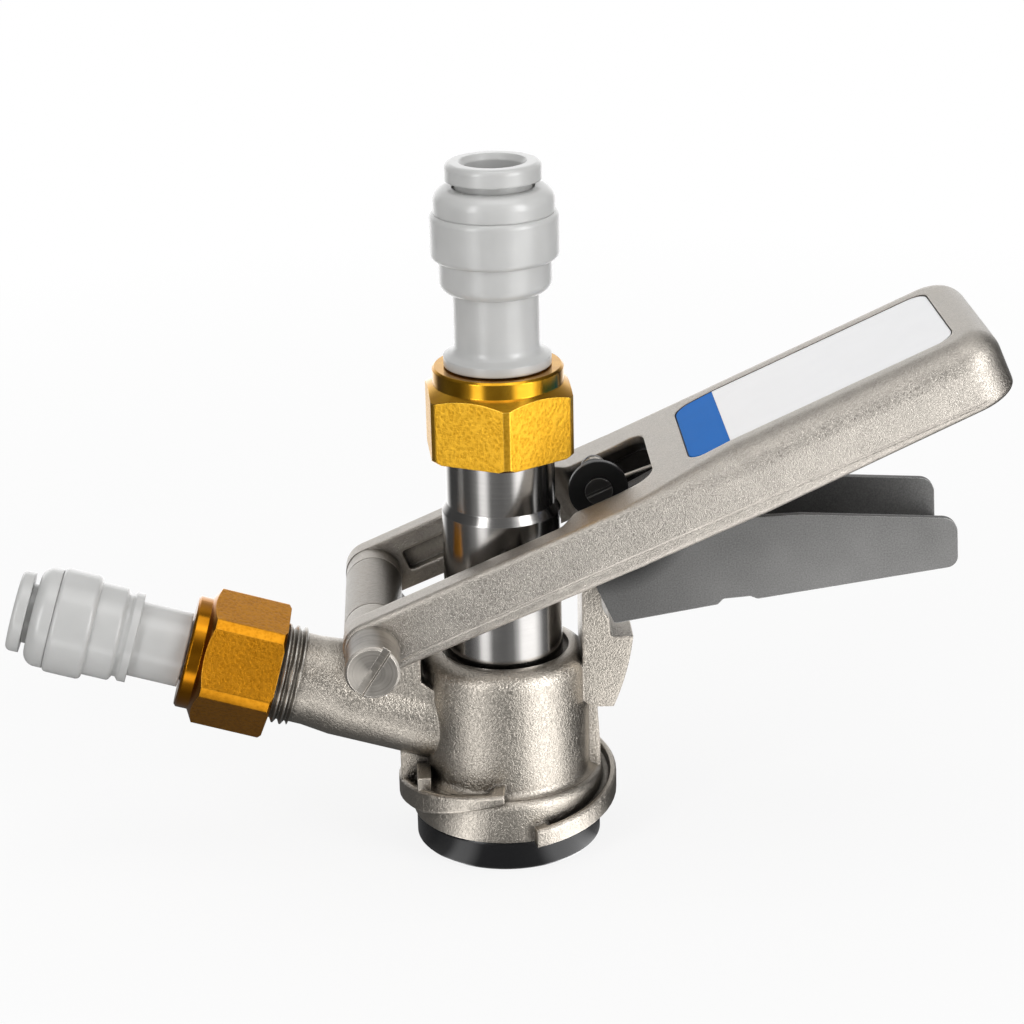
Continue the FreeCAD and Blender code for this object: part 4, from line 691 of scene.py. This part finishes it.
def pale_floor():
    """A square floor just below the coupler's foot."""
    grid = bmesh.new()
    bmesh.ops.create_grid(grid, x_segments=1, y_segments=1, size=FLOOR_REACH)
    bmesh.ops.translate(grid, verts=grid.verts, vec=(0.0, 0.0, cad_low.z - FLOOR_GAP))
    mesh = bpy.data.meshes.new("floor")
    grid.to_mesh(mesh)
    grid.free()
    floor = bpy.data.objects.new("floor", mesh)
    bpy.context.scene.collection.objects.link(floor)
    finish = Finish("floor_white")
    seen, mirrored = seen_by(finish, "Camera"), seen_mirrored(finish)
    fade = finish.remap(finish.off_axis(UPWARD, FLOOR_MIDDLE), FADE_START, FADE_END, GLOW_NEAR, 1.0)
    finish.set(Base_Color=(0.86, 0.86, 0.86, 1.0), Roughness=0.9, Specular_IOR_Level=0.0)
    glow = finish.node("Emission", {}, {
        "Color": (1.0, 1.0, 1.0, 1.0), "Strength": seen + mirrored * mirrored_room(finish)})
    surface = finish.node("MixShader", {}, {
        0: seen * fade + mirrored, 1: Wire(finish, finish.shader.outputs[0]), 2: glow})
    finish.links.new(surface.socket, finish.nodes["Material Output"].inputs["Surface"])
    mesh.materials.append(finish.done())


pale_floor()

# %% [markdown]
# ## Three softboxes
#
# Two tall softboxes stand left and right in front, and a wide one hangs above. Large area
# lamps give the soft shadows of a product picture, and a small lamp would give hard ones.
# Each is turned towards the middle of the coupler.


# %% Lamps
def soft_lamp(name, place, aim, size, watts):
    lamp = bpy.data.objects.new(name, bpy.data.lights.new(name, "AREA"))
    bpy.context.scene.collection.objects.link(lamp)
    lamp.data.shape = "RECTANGLE"
    lamp.data.size, lamp.data.size_y = size
    lamp.data.energy = watts
    lamp.location = place
    lamp.rotation_euler = (Vector(aim) - Vector(place)).to_track_quat("-Z", "Y").to_euler()
    print(name, watts, "W")


COUPLER_MIDDLE = (0.03, 0.0, 0.08)
soft_lamp("lamp_left", (-0.7, -0.75, 0.5), COUPLER_MIDDLE, (0.3, 1.0), 4.2)
soft_lamp("lamp_right", (0.85, -0.7, 0.5), COUPLER_MIDDLE, (0.4, 1.0), 7.0)
soft_lamp("lamp_top", (0.05, -0.1, 1.0), COUPLER_MIDDLE, (0.9, 0.6), 2.6)

# %% [markdown]
# ## The white room
#
# The camera sees a white room. Metal sees the compass room, whose walls get dimmer upwards
# below a faint ceiling, which keeps the tops of round parts dark. Everything else gets an
# even fill that is stronger from behind. One Background shader does all three, because the
# Light Path node tells what kind of ray asks.


# %% Room
def white_room():
    """The world: white to the camera, the compass room to metal, a soft fill to the rest."""
    room = Room("room")
    seen, mirrored = seen_by(room, "Camera"), seen_mirrored(room)
    away = room.node("SeparateXYZ", {}, {0: room.place}, "Y")
    height = room.node("SeparateXYZ", {}, {0: room.place}, "Z")
    fill = room.remap(away, -0.35, 0.25, 0.14, 0.55)
    wall = room.remap(height, 0.25, 0.5, 1.0, 0.4)
    ceiling = room.remap(height, 0.35, 0.8, 0.0, 0.25)
    lit = mirrored * (mirrored_room(room) * wall + ceiling) + (1.0 - mirrored) * fill
    room.set(Color=(1.0, 1.0, 1.0, 1.0), Strength=seen + (1.0 - seen) * lit)
    print("the room has", len(room.nodes), "nodes")


white_room()
bpy.context.scene.view_settings.view_transform = "Standard"

# %% [markdown]
# ## The size
#
# The dressed coupler should be as large as the CAD model.
